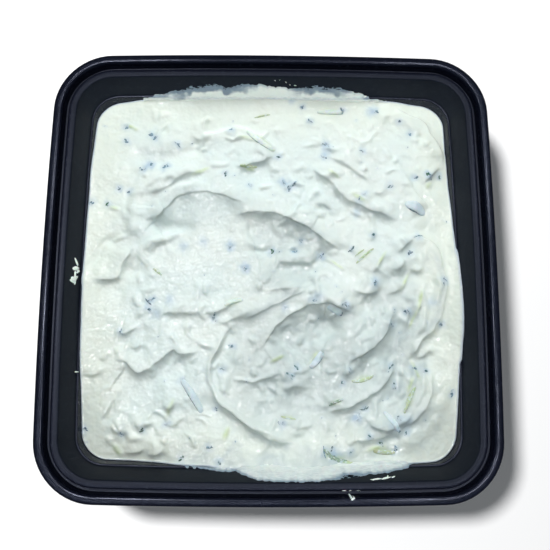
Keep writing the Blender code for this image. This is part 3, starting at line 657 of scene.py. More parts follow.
def scatter_shreds(count, seed):
    """Short ridges, crowded on the right and along the far and near side, most of them round the swirl."""
    rng = np.random.default_rng(seed)
    shreds = []
    while len(shreds) < count:
        x, y = rng.uniform(-72, 72, 2)
        crowd = 0.45 + 0.35 * (x > 0) + 0.2 * (y < -20 or y > 30)
        if rng.uniform() > crowd * (1 - wiped(x, y)):
            continue
        swirl = math.atan2(y - SWIRL[1], x - SWIRL[0]) + math.pi / 2
        way = swirl + rng.normal(0, 0.7)
        length = rng.uniform(3, 10)
        bend = rng.normal(0, 0.12) * length
        run = np.array([math.cos(way), math.sin(way)])
        middle = np.array([x, y]) + bend * np.array([-run[1], run[0]])
        line = [np.array([x, y]) - run * length / 2, middle, np.array([x, y]) + run * length / 2]
        shreds.append((rng.uniform(0.3, 0.85), rng.uniform(0.7, 1.5), line))
    return shreds


COATED = [
    ((-15.5, 60), (-4, 57.5), 1.5), ((61, -17), (64, -4), 1.2), ((57, -24), (62, -13), 1.1),
    ((57, -33), (62.5, -46), 1.3), ((-42.5, -60), (-38.5, -50.5), 1.6), ((-64, -69), (-59, -75), 2.2),
    ((-19, -68.5), (-16, -61.5), 2.0), ((23.5, 45.5), (30, 41), 1.4), ((33, 35.5), (42.5, 30), 1.5),
    ((20.5, -31), (16, -38.5), 1.8), ((-1, -37), (7, -33.5), 1.6), ((23, 7.5), (32, 1), 0.9),
    ((43.5, 1.5), (49.5, 11), 1.2), ((-35, 42), (-25, 46.5), 1.6), ((-12, 45.8), (-6, 45.2), 1.4),
    ((54, -8), (59, 2), 1.2), ((48, -70), (38, -71.5), 1.8), ((56, -50), (59, -41), 1.4),
    ((66, 38), (70, 40), 2.0), ((-64, 66), (-57, 62), 1.4), ((-69, 29), (-64, 27), 1.4),
]
SHREDS = scatter_shreds(280, 11)
print(len(SHREDS), "coated shreds")


# %% The surface
MIDDLE_DEPTH = 14.5
CORNER_SINK = 4.6


def fold_form(distance, lip, drop, edge):
    """A rounded lip on the high side, a crisp edge, and a face that runs out into a shallow hollow."""
    back = np.maximum(distance, 0)
    front = np.maximum(-distance, 0)
    face = edge + 0.55 * (lip + drop)
    high = lip * np.exp(-((back / (3 + 3 * lip)) ** 1.5))
    low = (lip + drop) * np.exp(-((front / face) ** 1.15)) - drop * np.exp(-((front / (3 + 4 * drop)) ** 2))
    return np.where(distance > 0, high, low)


def surface(x, y):
    """Height of the dip's top in millimetres, and how far each place is pushed sideways under a lip."""
    z = np.full_like(x, TRAY_HEIGHT - MIDDLE_DEPTH)
    push = np.zeros((len(x), 2))
    far = np.maximum(np.abs(x), np.abs(y))
    near = np.minimum(np.abs(x), np.abs(y))
    z -= CORNER_SINK * np.clip((near - 38) / 38, 0, 1) ** 2 * np.clip((far - 55) / 22, 0, 1)
    wander = np.stack([lumps(x, y, 4.0, 21), lumps(x, y, 4.0, 22)], axis=-1) * 0.45
    wx = x + wander[:, 0]
    wy = y + wander[:, 1]
    for lip, drop, edge, line in FOLDS.values():
        spots, distance, fade, across = measure_from(wx, wy, line, 24)
        z[spots] += fold_form(distance, lip, drop, edge) * fade
        overhang = 0.28 * (lip + 0.5 * drop) * np.exp(-(((distance - 0.2) / 0.8) ** 2)) * fade
        push[spots] -= across * overhang[:, None]
    for height, width, line in RIDGES.values():
        spots, distance, fade, _ = measure_from(wx, wy, line, 3 * width)
        z[spots] += height * np.exp(-((distance / width) ** 2)) * fade
    for height, width, line in SHREDS:
        spots, distance, fade, _ = measure_from(wx, wy, line, 3 * width)
        z[spots] += height * np.exp(-((np.abs(distance) / width) ** 2.4)) * np.sqrt(fade)
    for height, at_x, at_y, reach_x, reach_y in BUMPS + SIDE_SWELLS:
        z += height * np.exp(-(((x - at_x) / reach_x) ** 2) - ((y - at_y) / reach_y) ** 2)
    rough = 1 - 0.7 * wiped(x, y)
    for start, end, width in COATED:
        spots, distance, fade, _ = measure_from(wx, wy, [start, end], 3 * width)
        z[spots] += 0.55 * np.exp(-((np.abs(distance) / (0.55 * width)) ** 2.4)) * np.sqrt(fade)
    around = np.arctan2(y - SWIRL[1], x - SWIRL[0])
    strands = lumps(np.hypot(wx - SWIRL[0], wy - SWIRL[1]), 9 * around, 2.4, 5)
    z += 0.35 * lumps(x, y, 11.0, 1) + 0.18 * rough * lumps(wx, wy, 4.5, 2)
    z += 0.16 * rough * strands * np.clip((x + 25) / 30, 0, 1)
    z += rough * (0.05 * lumps(wx, wy, 2.1, 3) + 0.02 * lumps(wx, wy, 1.1, 4))
    return z, push


sample = surface(np.array([0.0, 40.0]), np.array([0.0, 40.0]))[0]
print("height at two places:", np.round(sample, 1))

# %% [markdown]
# Slivers of cucumber and flecks of dill lie in the dip, most of them under a thin coat of it. Where
# one lies just below, the white turns bluish. So their places are listed before the surface is made:
# the surface gets that haze as a number at each of its points, and the pieces themselves are laid on
# it later.

# %% Cucumber slivers: start, end, width, bend to the left, colour and kind of rind
SLIVERS = [
    ((-36, -44), (-27.5, -57), 3.0, 0.5, "pale", "right"),
    ((1.5, 53.5), (-10.5, 62), 2.3, 0.6, "white", "left"),
    ((-19, -13.5), (-11.5, -11), 2.0, 0.4, "white", "none"),
    ((57.3, 30.8), (66, 26), 4.4, 0.5, "pale", "right"),
    ((54.5, -57), (59.5, -46.5), 1.6, 0.3, "green", "none"),
    ((36, 4.5), (43.5, 11), 1.0, 0.2, "green", "none"),
    ((35.5, 7.5), (39.5, 10.5), 0.6, 0.1, "green", "none"),
    ((16.5, -39), (21.5, -32.5), 2.8, -0.5, "pale", "right"),
    ((-7.5, 68.5), (-0.5, 70), 0.7, 0.2, "green", "none"),
    ((33.5, -44.3), (42.5, -42), 1.4, -0.9, "green", "none"),
    ((-49.5, 2), (-45.5, -1), 0.9, 0.1, "green", "none"),
    ((20, 71.5), (31.5, 71.3), 2.4, 0.2, "white", "end"),
    ((41.5, -71.8), (50.5, -72.5), 1.8, -0.3, "green", "none"),
    ((24.5, -73.5), (31, -75.5), 1.5, -0.7, "olive", "none"),
    ((21.5, -71), (25, -75), 1.3, 0.4, "olive", "none"),
    ((27, -75.5), (34.5, -77), 1.2, 0.3, "green", "none"),
    ((-13.5, 46.6), (-6, 46.4), 1.2, -0.2, "green", "none"),
    ((24, -13.5), (30, -17), 2.8, 0.1, "pale", "end"),
    ((46.5, -56.5), (52.5, -64.5), 2.2, 0.4, "pale", "end"),
    ((4.5, -58.3), (10.5, -59.5), 0.8, -0.2, "green", "none"),
    ((24, -54), (30, -51.5), 1.2, 0.2, "olive", "none"),
]
print(len(SLIVERS), "slivers")

# %% Dill flecks: places by colour, and the few with a length and a direction of their own
FLECKS = {
    "slate": [(-52, 60.5), (-50, 59), (-54.5, 45), (-51.5, 47), (-46, 45.5), (-44, 46.5), (-60, 35),
        (-62.5, 57.5), (-9, 37.5), (-17.5, 62.5), (9, 76.5), (13.5, 73.5), (17, 67), (23, 51),
        (10, 38.5), (5, 40), (8, 36.5), (45.5, 72), (31, 72.5), (39.5, 53.5), (56, 67), (60.5, 62),
        (38, 31.5), (62, 42.5), (59, 9), (57, -15.5), (51, -21), (71, -21), (21.5, 7.5), (43.5, -4),
        (17.5, -11), (-16.5, 11.5), (-10.5, 2), (10, 10), (13, 14), (6, -14), (-50.5, -15),
        (-61.5, -24.5), (-15.5, -30), (5, -61.5), (-24.5, -70.5), (-22, -55.5), (-59.5, -65.5),
        (-41.5, -61.5), (60, -39.5), (52.5, -58.5), (50.5, -71.5), (26, -74), (74.5, -49), (-75, -64),
        (-76, 30), (-65, 36), (-63, 64)],
    "teal": [(-19.5, 43), (3, 51), (23, 56.5), (40, 34.5), (43.5, 16.5), (51, 38), (34.5, 10.5),
        (32, -14), (21, 8), (-23.5, -18.5), (-20, -39.5), (8.5, -42), (11, -39), (51.5, -46.5),
        (64, -40), (50, -38), (30, -45), (40, -66), (32.5, -72), (55.5, -64.5), (32.5, -39.5),
        (25, -72), (-20.5, -76)],
    "green": [(67.5, 43.5), (73, 43.5), (0.5, 10), (45, -69), (-35.5, -75), (-51, -63.5), (-69, 29.5)],
}
LONG_FLECKS = [
    ("slate", -40.5, 56, 3.4, -45), ("teal", 62.5, 16, 4.4, 12), ("slate", 72.5, -3, 4, 85),
    ("slate", -50.5, -12, 4.6, -45), ("slate", 22, -72, 5, 100), ("teal", 38.5, -55, 4.2, 15),
    ("teal", 68.5, 43, 4, -60), ("slate", 35.5, -58.5, 4, 60), ("slate", 30.5, -12.8, 2.6, 35),
    ("teal", -36, -44.3, 1.8, 80), ("slate", -49, -11, 3, 20), ("slate", 24, 56.5, 3, 130),
]
BLUISH = [
    (-28.5, 13.5), (-41.5, -11.5), (-37, 11.5), (-17, 12), (-11, 2.5), (43.5, 72), (-47, -17),
    (50, -62), (35, -59), (27, -73), (56, -60), (-53, 47), (37, 27), (24, 53), (6, 39), (44, -3),
    (20, -10), (67, -12),
]


def scatter_flecks(count, seed):
    """Tiny flecks, crowded where the surface is rough."""
    rng = np.random.default_rng(seed)
    places = []
    while len(places) < count:
        x, y = rng.uniform(-75, 75, 2)
        if rng.uniform() < (0.5 + 0.4 * (x > 0)) * (1 - 0.8 * wiped(x, y)):
            places.append((round(x, 1), round(y, 1)))
    return places


TINY_FLECKS = scatter_flecks(45, 5)
print(sum(map(len, FLECKS.values())) + len(LONG_FLECKS), "flecks and", len(TINY_FLECKS), "tiny ones")

# %% [markdown]
# Painted shade greys the dip in the low bowl, down the near wall, and in the seam in front of most
# folds. The broad patches and the seams are listed apart.

# %% Painted shade: how grey, middle and reach in x and y; then the seams of painted shade, half width and line
PAINTED_SHADE_PATCHES = [
    (0.75, 16, -40, 30, 26), (0.6, 8, -2, 15, 7), (0.6, 8, 13, 17, 8), (0.45, -30, 26, 24, 8),
    (0.6, 52, -30, 12, 34), (1.0, 6, -80, 44, 9), (1.0, 10, -22, 9, 5.5), (1.0, 25, -17.5, 10, 5.5),
    (0.5, 50, -62, 20, 12),
]
PAINTED_SHADE_SEAMS = [
    (1.6, [(66, 12), (70.5, 5), (72, -4), (71, -12), (67.5, -20), (61, -27)]),
    (1.8, [(56, 16), (59.5, 11)]), (1.6, [(50, 4), (56, 1), (60, -3)]),
    (1.8, [(57, -6), (59, -14), (57, -22), (50, -33), (44, -40)]),
    (2.0, [(52, -14), (49, -22), (42, -29), (34, -36)]), (1.8, [(63, -30), (63, -38), (60, -46)]),
    (2.4, [(35, -58), (40, -62), (50, -63), (60, -57)]), (3.0, [(24, -72), (28, -77), (36, -78)]),
    (1.6, [(10, -42), (7, -48), (16, -48)]), (1.6, [(46, -52), (52, -48), (56, -42)]),
    (2.2, [(-8, 26), (8, 22), (18, 17), (26, 11)]), (2.4, [(-14, -19), (-4, -16), (4, -11), (14, -6)]),
    (1.4, [(-77, -3), (-68, -3), (-62, 1)]), (1.6, [(36, 31), (46, 26), (57, 21)]),
    (2.0, [(20, 29.5), (30, 27)]), (1.8, [(-14, 45.5), (-4, 48), (4, 51)]),
    (1.6, [(-12, -61), (-4, -66.5), (3, -69.5), (12, -70)]), (2.0, [(38, -10), (46, -7)]),
    (2.0, [(68, -52), (60, -60), (46, -69)]),
]
print(len(PAINTED_SHADE_PATCHES), "moist patches and", len(PAINTED_SHADE_SEAMS), "seams")


# %% Haze
def haze_at(x, y):
    """How bluish the dip looks at each place: 0 for plain white, up to 1."""
    total = np.zeros_like(x)
    spots = [(a, b, 1.7, 0.62) for places in FLECKS.values() for a, b in places]
    spots += [(a, b, 1.7, 0.62) for _, a, b, _, _ in LONG_FLECKS] + [(a, b, 2.2, 0.6) for a, b in BLUISH]
    spots += [(a, b, 0.8, 0.3) for a, b in TINY_FLECKS]
    wx = x + 0.7 * lumps(x, y, 1.6, 31)
    wy = y + 0.7 * lumps(x, y, 1.6, 32)
    for a, b, reach, most in spots:
        total += most * np.exp(-(((wx - a) / reach) ** 2) - ((wy - b) / reach) ** 2)
    return np.clip(total, 0, 1)


def painted_shade_at(x, y):
    """How much painted shade greys the dip at each place: 0 for none, up to 1."""
    wx = x + 3 * lumps(x, y, 7.0, 41)
    wy = y + 3 * lumps(x, y, 7.0, 42)
    total = np.zeros_like(x)
    for most, a, b, reach_x, reach_y in PAINTED_SHADE_PATCHES:
        total = np.maximum(total, most * np.exp(-(((wx - a) / reach_x) ** 4) - ((wy - b) / reach_y) ** 4))
    for width, line in PAINTED_SHADE_SEAMS:
        spots, distance, fade, _ = measure_from(x, y, line, 2.5 * width)
        total[spots] += 0.6 * np.exp(-((distance / width) ** 2)) * fade
    return np.clip(total * (0.8 + 0.3 * lumps(wx, wy, 2.6, 43)), 0, 1)


def green_at(x, y):
    """Where coated cucumber shows through in yellow-green."""
    total = np.zeros_like(x)
    lines = [(start, end, width, 0.55) for start, end, width in COATED]
    for start, end, width, _, flesh, _ in SLIVERS:
        if flesh != "pale":
            lines.append((start, end, width + 0.8, 0.4))
    for start, end, width, most in lines:
        spots, distance, fade, _ = measure_from(x, y, [start, end], 2 * width)
        total[spots] += most * np.exp(-((distance / (0.5 * width)) ** 2)) * fade
    return np.clip(total * (1 + 0.5 * lumps(x, y, 1.5, 33)), 0, 1)


print("haze beside a fleck:", round(float(haze_at(np.array([-28.5]), np.array([13.5]))[0]), 2))

# %% [markdown]
# The mesh is one flat grid. It is drawn into the tray's rounded square, lifted to the surface, and
# pushed sideways a little at each lip so that the folds overhang. Along the rim it follows the wall
# at whatever height the dip reaches there, climbs it by a hair, and then goes down inside the tray as
# far as the floor.

# %% Into the tray's outline
GRID = 296
NOMINAL = 14.0
CORNER_CENTRE = HALF - CORNER_RADIUS
SIDE_DEPTHS = [22.0, 37.0, 40.4, 42.8, 43.85]
WALL_DEPTHS = [0.0, 2.9, 12.75, 13.05, 37.0, 40.4, 42.8, 43.9]
WALL_INSETS = [8.5, 8.6, 11.4, 12.2, 15.2, 16.2, 18.6, 22.2]


def half_at(depth):
    """Half the cavity's width in the corner's own ring, at this depth."""
    return HALF - np.interp(depth, WALL_DEPTHS, WALL_INSETS)


def into_outline(x, y, half):
    """A square of this half width, drawn into the rounded and bowed outline."""
    px = np.abs(x) - CORNER_CENTRE
    py = np.abs(y) - CORNER_CENTRE
    corner = (px > 0) & (py > 0)
    pull = np.where(corner, np.maximum(px, py) / np.maximum(np.hypot(px, py), 1e-9), 1)
    x = np.where(corner, np.sign(x) * (CORNER_CENTRE + px * pull), x)
    y = np.where(corner, np.sign(y) * (CORNER_CENTRE + py * pull), y)
    return bowed(x, y, half)


def outward(x, y):
    """The direction from each place straight to the nearest wall."""
    px = np.maximum(np.abs(x) - CORNER_CENTRE, 0)
    py = np.maximum(np.abs(y) - CORNER_CENTRE, 0)
    inner = (px == 0) & (py == 0)
    px = np.where(inner, np.abs(x), px)
    py = np.where(inner, np.abs(y), py)
    length = np.maximum(np.hypot(px, py), 1e-9)
    return np.stack([np.sign(x) * px / length, np.sign(y) * py / length], axis=-1)


print("the cavity is", round(2 * float(half_at(NOMINAL)), 1), "mm wide where the dip meets it")

# %% Lift the grid
bm = bmesh.new()
bmesh.ops.create_grid(bm, x_segments=GRID, y_segments=GRID, size=1.0)
half = float(half_at(NOMINAL))
flat = np.array([vert.co[:2] for vert in bm.verts]) * half
from_rim = half - np.abs(flat).max(axis=1)
x, y = into_outline(flat[:, 0], flat[:, 1], half)
z, push = surface(x, y)
climb = 0.5 * np.exp(-from_rim / 0.5)
inside = np.clip(from_rim / 3, 0, 1)
reach = (half_at(TRAY_HEIGHT - z) - half) * np.clip(1 - from_rim / 6, 0, 1) ** 2
side_way = outward(x, y)
x = x + side_way[:, 0] * reach + push[:, 0] * inside
y = y + side_way[:, 1] * reach + push[:, 1] * inside
for vert, place in zip(bm.verts, np.stack([x, y, z + climb], axis=-1) * MM):
    vert.co = place
print("surface from", round(z.min(), 1), "to", round(z.max(), 1), "mm high")

# %% Sides and underside
rim_layer = bm.verts.layers.float.new("rim")
haze_layer = bm.verts.layers.float.new("haze")
green_layer = bm.verts.layers.float.new("green")
# painted shade, kept as a number at each point of the dip
painted_shade_layer = bm.verts.layers.float.new("painted_shade")
looks = zip(bm.verts, from_rim, haze_at(x, y), green_at(x, y), painted_shade_at(x, y))
for vert, distance, haze, green, painted_shade in looks:
    vert[rim_layer] = distance
    vert[haze_layer] = haze
    vert[green_layer] = green
    vert[painted_shade_layer] = painted_shade
edge = [e for e in bm.edges if e.is_boundary]
for depth in SIDE_DEPTHS:
    new = bmesh.ops.extrude_edge_only(bm, edges=edge)["geom"]
    corners = [item for item in new if isinstance(item, bmesh.types.BMVert)]
    edge = [item for item in new if isinstance(item, bmesh.types.BMEdge)]
    now = np.array([vert.co[:] for vert in corners]) / MM
    move = half_at(depth) - half_at(TRAY_HEIGHT - now[:, 2])
    now[:, :2] += outward(now[:, 0], now[:, 1]) * move[:, None]
    now[:, 2] = TRAY_HEIGHT - depth
    for vert, place in zip(corners, now * MM):
        vert.co = place
bmesh.ops.contextual_create(bm, geom=edge)
bmesh.ops.recalc_face_normals(bm, faces=bm.faces)
if bm.calc_volume(signed=True) < 0:
    bmesh.ops.reverse_faces(bm, faces=bm.faces)
print("dip:", round(bm.calc_volume() * 1e6), "ml")
dip_tree = BVHTree.FromBMesh(bm)
dip = finish_object(bm, "yoghurt_dip")
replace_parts(dip, "dip")
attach(dip, "root")

# %% [markdown]
# ## The finish of the dip
#
# Strained yoghurt is white because fat and protein scatter the light inside it, so some light goes in
# and comes out a millimetre or two away. That softens the shaded sides. Its colour is a cool white, a
# touch green from the cucumber, creamier towards the walls and bluish where a thin film lets the black
# tray through, and painted shade makes it greyer in the low bowl, by the near wall and in front of
# folds. Water lies on it in a thin skin, which gives sharp tiny glints.

# %% Yoghurt
def yoghurt_finish(name):
    """White yoghurt. Attributes say how far the wall is, where painted shade greys it and what lies under
    it.
    """
    made = Finish(name, Subsurface_Weight=0.25, Subsurface_Scale=0.0016, IOR=1.45, Specular_IOR_Level=0.8)
    made.set("Subsurface Radius", (1.0, 0.85, 0.7))
    rim = made.attribute("rim")
    haze = made.attribute("haze")
    cool = made.between(made.noise(38.0, 2.0), 0.35, 0.7)
    white = made.mix(cool, (0.765, 0.850, 0.810), (0.745, 0.860, 0.835))
    cream = made.between(rim, 26.0, 3.0) * 0.75
    white = made.mix(cream, white, (0.795, 0.870, 0.775))
    # painted shade: the grey of shaded places and seams, mixed into the white
    white = made.mix(made.attribute("painted_shade"), white, (0.50, 0.59, 0.585))
    white = made.mix(haze, white, (0.46, 0.60, 0.70))
    white = made.mix(made.attribute("green"), white, (0.56, 0.70, 0.36))
    film = made.between(rim, 0.8, 0.0) * 0.7
    made.set("Base Color", made.mix(film, white, (0.30, 0.38, 0.52)))
    made.set("Roughness", 0.04 + 0.06 * made.noise(700.0, 2.0))
    curds = made.noise(360.0, 1.0, 0.5)
    made.bump(curds + 0.03 * made.noise(1200.0, 1.0), 0.0006, 0.6)
    return made


yoghurt = yoghurt_finish("yoghurt")
dip.data.materials.append(yoghurt.material)
print("yoghurt:", len(yoghurt.nodes), "nodes")

# %% [markdown]
# ## Cucumber and dill
#
# Grated cucumber comes as slivers with blunt ends, some with a line of dark green rind along one
# side, and dill as thin leaf tips. Both start as a sphere with few faces, drawn out to a rod from one
# place to another, flattened and bent. Each of its points is then set on the dip by a ray from above,
# so that it follows the folds with its lower half sunk in.


# %% One rod on the dip
def ground_at(tree, x, y):
    """Height of the surface under this place, in metres."""
    hit = tree.ray_cast(Vector((x, y, 60)) * MM, Vector((0, 0, -1)))[0]
    return (hit or tree.find_nearest(Vector((x, y, 32)) * MM)[0]).z


def drawn_out(bm, start, end, width, rise, bend, segments, rings, blunt, tree):
    """A flattened rod on the tree's surface: its points, and each one's place along and across it."""
    start = np.array(start, float)
    run = np.array(end, float) - start
    left = np.array([-run[1], run[0]]) / np.hypot(*run)
    lying = Matrix.Rotation(math.pi / 2, 4, "Y")
    ball = bmesh.ops.create_uvsphere(bm, u_segments=segments, v_segments=rings, radius=1.0, matrix=lying)
    made = ball["verts"]
    unit = np.array([vert.co[:] for vert in made])
    along = unit[:, 0]
    fuller = np.maximum(1 - along**2, 1e-4) ** (0.5 * blunt - 0.5)
    across = unit[:, 1] * fuller
    places = start + run * (0.5 + 0.5 * along[:, None])
    places = places + left * (across * width / 2 + bend * (1 - along**2))[:, None]
    for vert, (x, y), up in zip(made, places, unit[:, 2] * fuller * rise):
        vert.co = (x * MM, y * MM, ground_at(tree, x, y) + up * MM)
    return made, along, across


def paint(verts, layer, colours):
    for vert, colour in zip(verts, colours):
        vert[layer] = (*colour, 1.0)


def smooth_step(value, low, high):
    t = np.clip((value - low) / (high - low), 0, 1)
    return t * t * (3 - 2 * t)


print("rods ready")

# %% Cucumber slivers
FLESH = {"white": (0.74, 0.84, 0.76), "pale": (0.64, 0.76, 0.80), "green": (0.50, 0.60, 0.38),
         "olive": (0.27, 0.37, 0.28)}
RIND = {"white": (0.22, 0.33, 0.32), "pale": (0.05, 0.10, 0.16), "green": (0.3, 0.4, 0.2),
        "olive": (0.1, 0.2, 0.2)}
bm = bmesh.new()
tint_layer = bm.verts.layers.float_color.new("tint")
rng = np.random.default_rng(8)
for start, end, width, bend, flesh, rind in SLIVERS:
    verts, along, across = drawn_out(bm, start, end, width, 0.15 + 0.12 * width, bend, 16, 14,
                                     0.9 if width > 4 else 0.5, dip_tree)
    dark = {"left": smooth_step(across, 0.7, 1.0), "right": smooth_step(-across, 0.7, 1.0),
            "end": smooth_step(along, 0.72, 0.95), "none": np.zeros_like(along)}[rind]
    dark = dark * smooth_step(1 - np.abs(along), 0.0, 0.2 if rind != "end" else 0.01)
    body = np.array(FLESH[flesh]) * rng.uniform(0.95, 1.05)
    paint(verts, tint_layer, body + (np.array(RIND[flesh]) - body) * dark[:, None])
bmesh.ops.recalc_face_normals(bm, faces=bm.faces)
cucumber = finish_object(bm, "cucumber_slivers")
for call, name in ((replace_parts, "dip"), (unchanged, "dip"), (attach, "root")):
    call(cucumber, name)
print("cucumber:", len(cucumber.data.polygons), "faces")

# %% Dill
LEAF = {"slate": (0.14, 0.23, 0.29), "teal": (0.06, 0.14, 0.16), "green": (0.02, 0.11, 0.06)}
bm = bmesh.new()
tint_layer = bm.verts.layers.float_color.new("tint")
rng = np.random.default_rng(4)


def leaf(colour, x, y, length, degrees, width):
    """One leaf tip of dill, a little bent and in its own shade."""
    way = math.radians(degrees)
    step = np.array([math.cos(way), math.sin(way)]) * length / 2
    verts, _, _ = drawn_out(bm, np.array([x, y]) - step, np.array([x, y]) + step, width, 0.12,
                            rng.normal(0, 0.1) * length, 8, 6, 0.8, dip_tree)
    paint(verts, tint_layer, [np.array(LEAF[colour]) * rng.uniform(0.7, 1.5)] * len(verts))


for colour, places in FLECKS.items():
    for x, y in places:
        way = rng.uniform(0, 180)
        run = np.array([math.cos(math.radians(way)), math.sin(math.radians(way))])
        for _ in range(rng.integers(2, 5)):
            near_x, near_y = np.array([x, y]) + run * rng.normal(0, 0.6) + rng.normal(0, 0.25, 2)
            length = rng.uniform(0.8, 2.0)
            degrees = way + rng.normal(0, 30)
            leaf(colour, near_x, near_y, length, degrees, rng.uniform(0.5, 0.9))
for colour, x, y, length, degrees in LONG_FLECKS:
    leaf(colour, x, y, length, degrees, 0.6)
    leaf(colour, x + 0.5, y + 0.3, 0.4 * length, degrees + 50, 0.45)
for x, y in TINY_FLECKS:
    leaf("slate", x, y, rng.uniform(0.4, 0.9), rng.uniform(0, 180), rng.uniform(0.25, 0.4))
bmesh.ops.recalc_face_normals(bm, faces=bm.faces)
dill = finish_object(bm, "dill_flecks")
for call, name in ((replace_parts, "dip"), (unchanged, "dip"), (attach, "root")):
    call(dill, name)
print("dill:", len(dill.data.polygons), "faces")

# %% [markdown]
# Their colours are painted on the points, as an attribute named tint. The material adds what is finer
# than the points: wet cucumber has faint lengthwise streaks, and the dip's own white clings to both
# in patches.


# %% Cucumber and dill finishes
def tinted_finish(name, coat, streak, roughness):
    """A wet finish in the colour of the points, patched with the dip's white above the level coat."""
    made = Finish(name, IOR=1.4)
    tint = made.attribute("tint", "Color")
    patches = made.between(made.noise(900.0, 3.0, 0.6), coat, coat + 0.12)
    shade = made.between(made.noise(streak, 3.0, 0.6), 0.3, 0.7)
    body = made.mix(shade * 0.4, tint, (0.75, 0.85, 0.80), "MULTIPLY")
    made.set("Base Color", made.mix(patches * 0.8, body, (0.66, 0.76, 0.80)))
    made.set("Roughness", roughness + 0.15 * shade)
    made.bump(made.noise(streak * 1.7, 2.0), 0.0002, 0.5)
    return made


wet_cucumber = tinted_finish("wet cucumber", 0.50, 600.0, 0.10)
wet_cucumber.set("Subsurface Weight", 0.25)
wet_cucumber.set("Subsurface Scale", 0.001)
cucumber.data.materials.append(wet_cucumber.material)
dill_leaf = tinted_finish("dill leaf", 0.46, 1400.0, 0.30)
dill.data.materials.append(dill_leaf.material)
print("finishes for", cucumber.name, "and", dill.name)

# %% [markdown]
# ## Smears on the tray
#
# The spoon left yoghurt on the tray above the dip: a long film on the far wall, another on the near
# wall, a splash on the left one and some drips on the ridge and the lip. A film is a grid laid on the
# wall between the dip and a ragged upper edge, thick below and thin above. A splash is a few squashed
# blobs grown together.

# %% Upper edges of the films: place along the wall and depth
FAR_FILM = [
    (-56, 14.2), (-51, 13.0), (-46.5, 12.2), (-42, 11.2), (-38, 9.2), (-33, 7.6), (-28, 6.9),
    (-24, 6.2), (-21, 7.6), (-19.5, 9.0), (-18, 7.4), (-15.6, 7.2), (-11, 6.6), (-7, 6.7), (-3, 7.2),
    (1.5, 8.2), (6, 8.6), (12, 8.7), (16, 7.4), (20.6, 6.8), (25, 7.6), (29, 8.2), (33, 9.6),
    (37, 11.2), (41, 12.6), (46, 13.4), (52, 15.5),
]
NEAR_FILM = [
    (-37, 15.0), (-33, 12.8), (-26, 12.2), (-21.5, 11.2), (-16, 10.4), (-13.5, 11.4), (-11.5, 8.8),
    (-8, 6.0), (-3.6, 3.2), (0, 3.0), (4, 2.8), (8, 3.0), (11.5, 2.8), (15, 3.0), (19, 3.0), (23, 3.7),
    (27, 4.2), (31, 5.6), (35, 6.8), (39, 7.6), (43, 8.1), (47, 9.6), (51.4, 10.9), (55, 12.7),
    (60, 15.0),
]
FILM_COLUMNS = 300
FILM_ROWS = 28


def on_wall(side, along, depth, off):
    """Places on the inside of one wall, this far off it."""
    half = half_at(depth) - off
    across = half + SIDE_BOW * (1 - (along / half) ** 2)
    x, y = {"far": (along, across), "near": (along, -across), "left": (-across, along)}[side]
    return np.stack([x, y, TRAY_HEIGHT - depth + 0 * along], axis=-1) * MM


def film(bm, layer, side, edge, low, thick, seed):
    """A film on one wall, from the depth low up to the ragged edge, and how thin it looks at each point."""
    made = bmesh.ops.create_grid(bm, x_segments=FILM_COLUMNS, y_segments=FILM_ROWS, size=1.0)["verts"]
    unit = np.array([vert.co[:2] for vert in made]) * 0.5 + 0.5
    across, tall = unit[:, 0], unit[:, 1]
    edge = np.array(edge)
    along = edge[0, 0] + (edge[-1, 0] - edge[0, 0]) * across
    ragged = lumps(along, along * 0, 2.6, seed) * 0.5 + lumps(along, along * 0, 0.9, seed + 1) * 0.4
    top = np.interp(along, *edge.T) + ragged * np.clip(low - np.interp(along, *edge.T), 0, 1.5) / 1.5
    depth = low + (top - low) * tall
    below = depth - top
    body = thick * smooth_step(below, 0.2, 4.5) + 0.12 * smooth_step(below, 0, 0.5)
    body += 0.12 * (1 + lumps(along, depth, 1.3, seed + 2)) * smooth_step(below, 0, 1.2)
    for vert, place in zip(made, on_wall(side, along, depth, 0.02 + body)):
        vert.co = place
    uneven = 1.5 * lumps(along, depth, 2.2, seed + 3)
    if side == "far":
        worn = np.exp(-(((along + 26) / 20) ** 4)) + np.exp(-(((along - 21) / 12) ** 4))
        worn *= 0.8 - 0.8 * smooth_step(below + uneven, 2.0, 5.2)
        worn = np.maximum(worn, 0.45 * np.exp(-(((depth - 13) / 0.5) ** 2)))
    else:
        worn = 0.42 - 0.12 * smooth_step(below + uneven, 2.0, 7.0)
        worn = worn + 0.6 * np.exp(-(((along - 31) / 5) ** 2)) * (1 - smooth_step(below, 1.2, 3.2))
    rim = 0.35 - 0.35 * smooth_step(below, 0.2, 1.8)
    for vert, thin in zip(made, worn + rim):
        vert[layer] = thin


bm = bmesh.new()
thin_layer = bm.verts.layers.float.new("thin")
film(bm, thin_layer, "far", FAR_FILM, 16.5, 0.9, 41)
film(bm, thin_layer, "near", NEAR_FILM, 17.0, 1.2, 51)
bmesh.ops.recalc_face_normals(bm, faces=bm.faces)
print("films:", len(bm.faces), "faces")


# %% Splashes and drips
def blob(bm, layer, side, along, depth, long, wide, degrees, thick, thin=0.0):
    """A squashed blob on a wall, or lying on the tray where the side is 'top'."""
    made = bmesh.ops.create_icosphere(bm, subdivisions=2, radius=1.0)["verts"]
    unit = np.array([vert.co[:] for vert in made])
    grow = 1 + 0.3 * lumps(unit[:, 0] + 7 * along, unit[:, 1] + 5 * depth, 0.7, 61)
    way = math.radians(degrees)
    a, b = unit[:, 0] * grow * long, unit[:, 1] * grow * wide
    u = along + a * math.cos(way) - b * math.sin(way)
    v = depth + a * math.sin(way) + b * math.cos(way)
    if side == "top":
        ground = [ground_at(tray_tree, x, y) for x, y in zip(u, v)]
        places = np.stack([u * MM, v * MM, np.array(ground) + unit[:, 2] * thick * MM], axis=-1)
    else:
        places = on_wall(side, u, v, unit[:, 2] * thick)
    for vert, place in zip(made, places):
        vert.co = place
        vert[layer] = thin


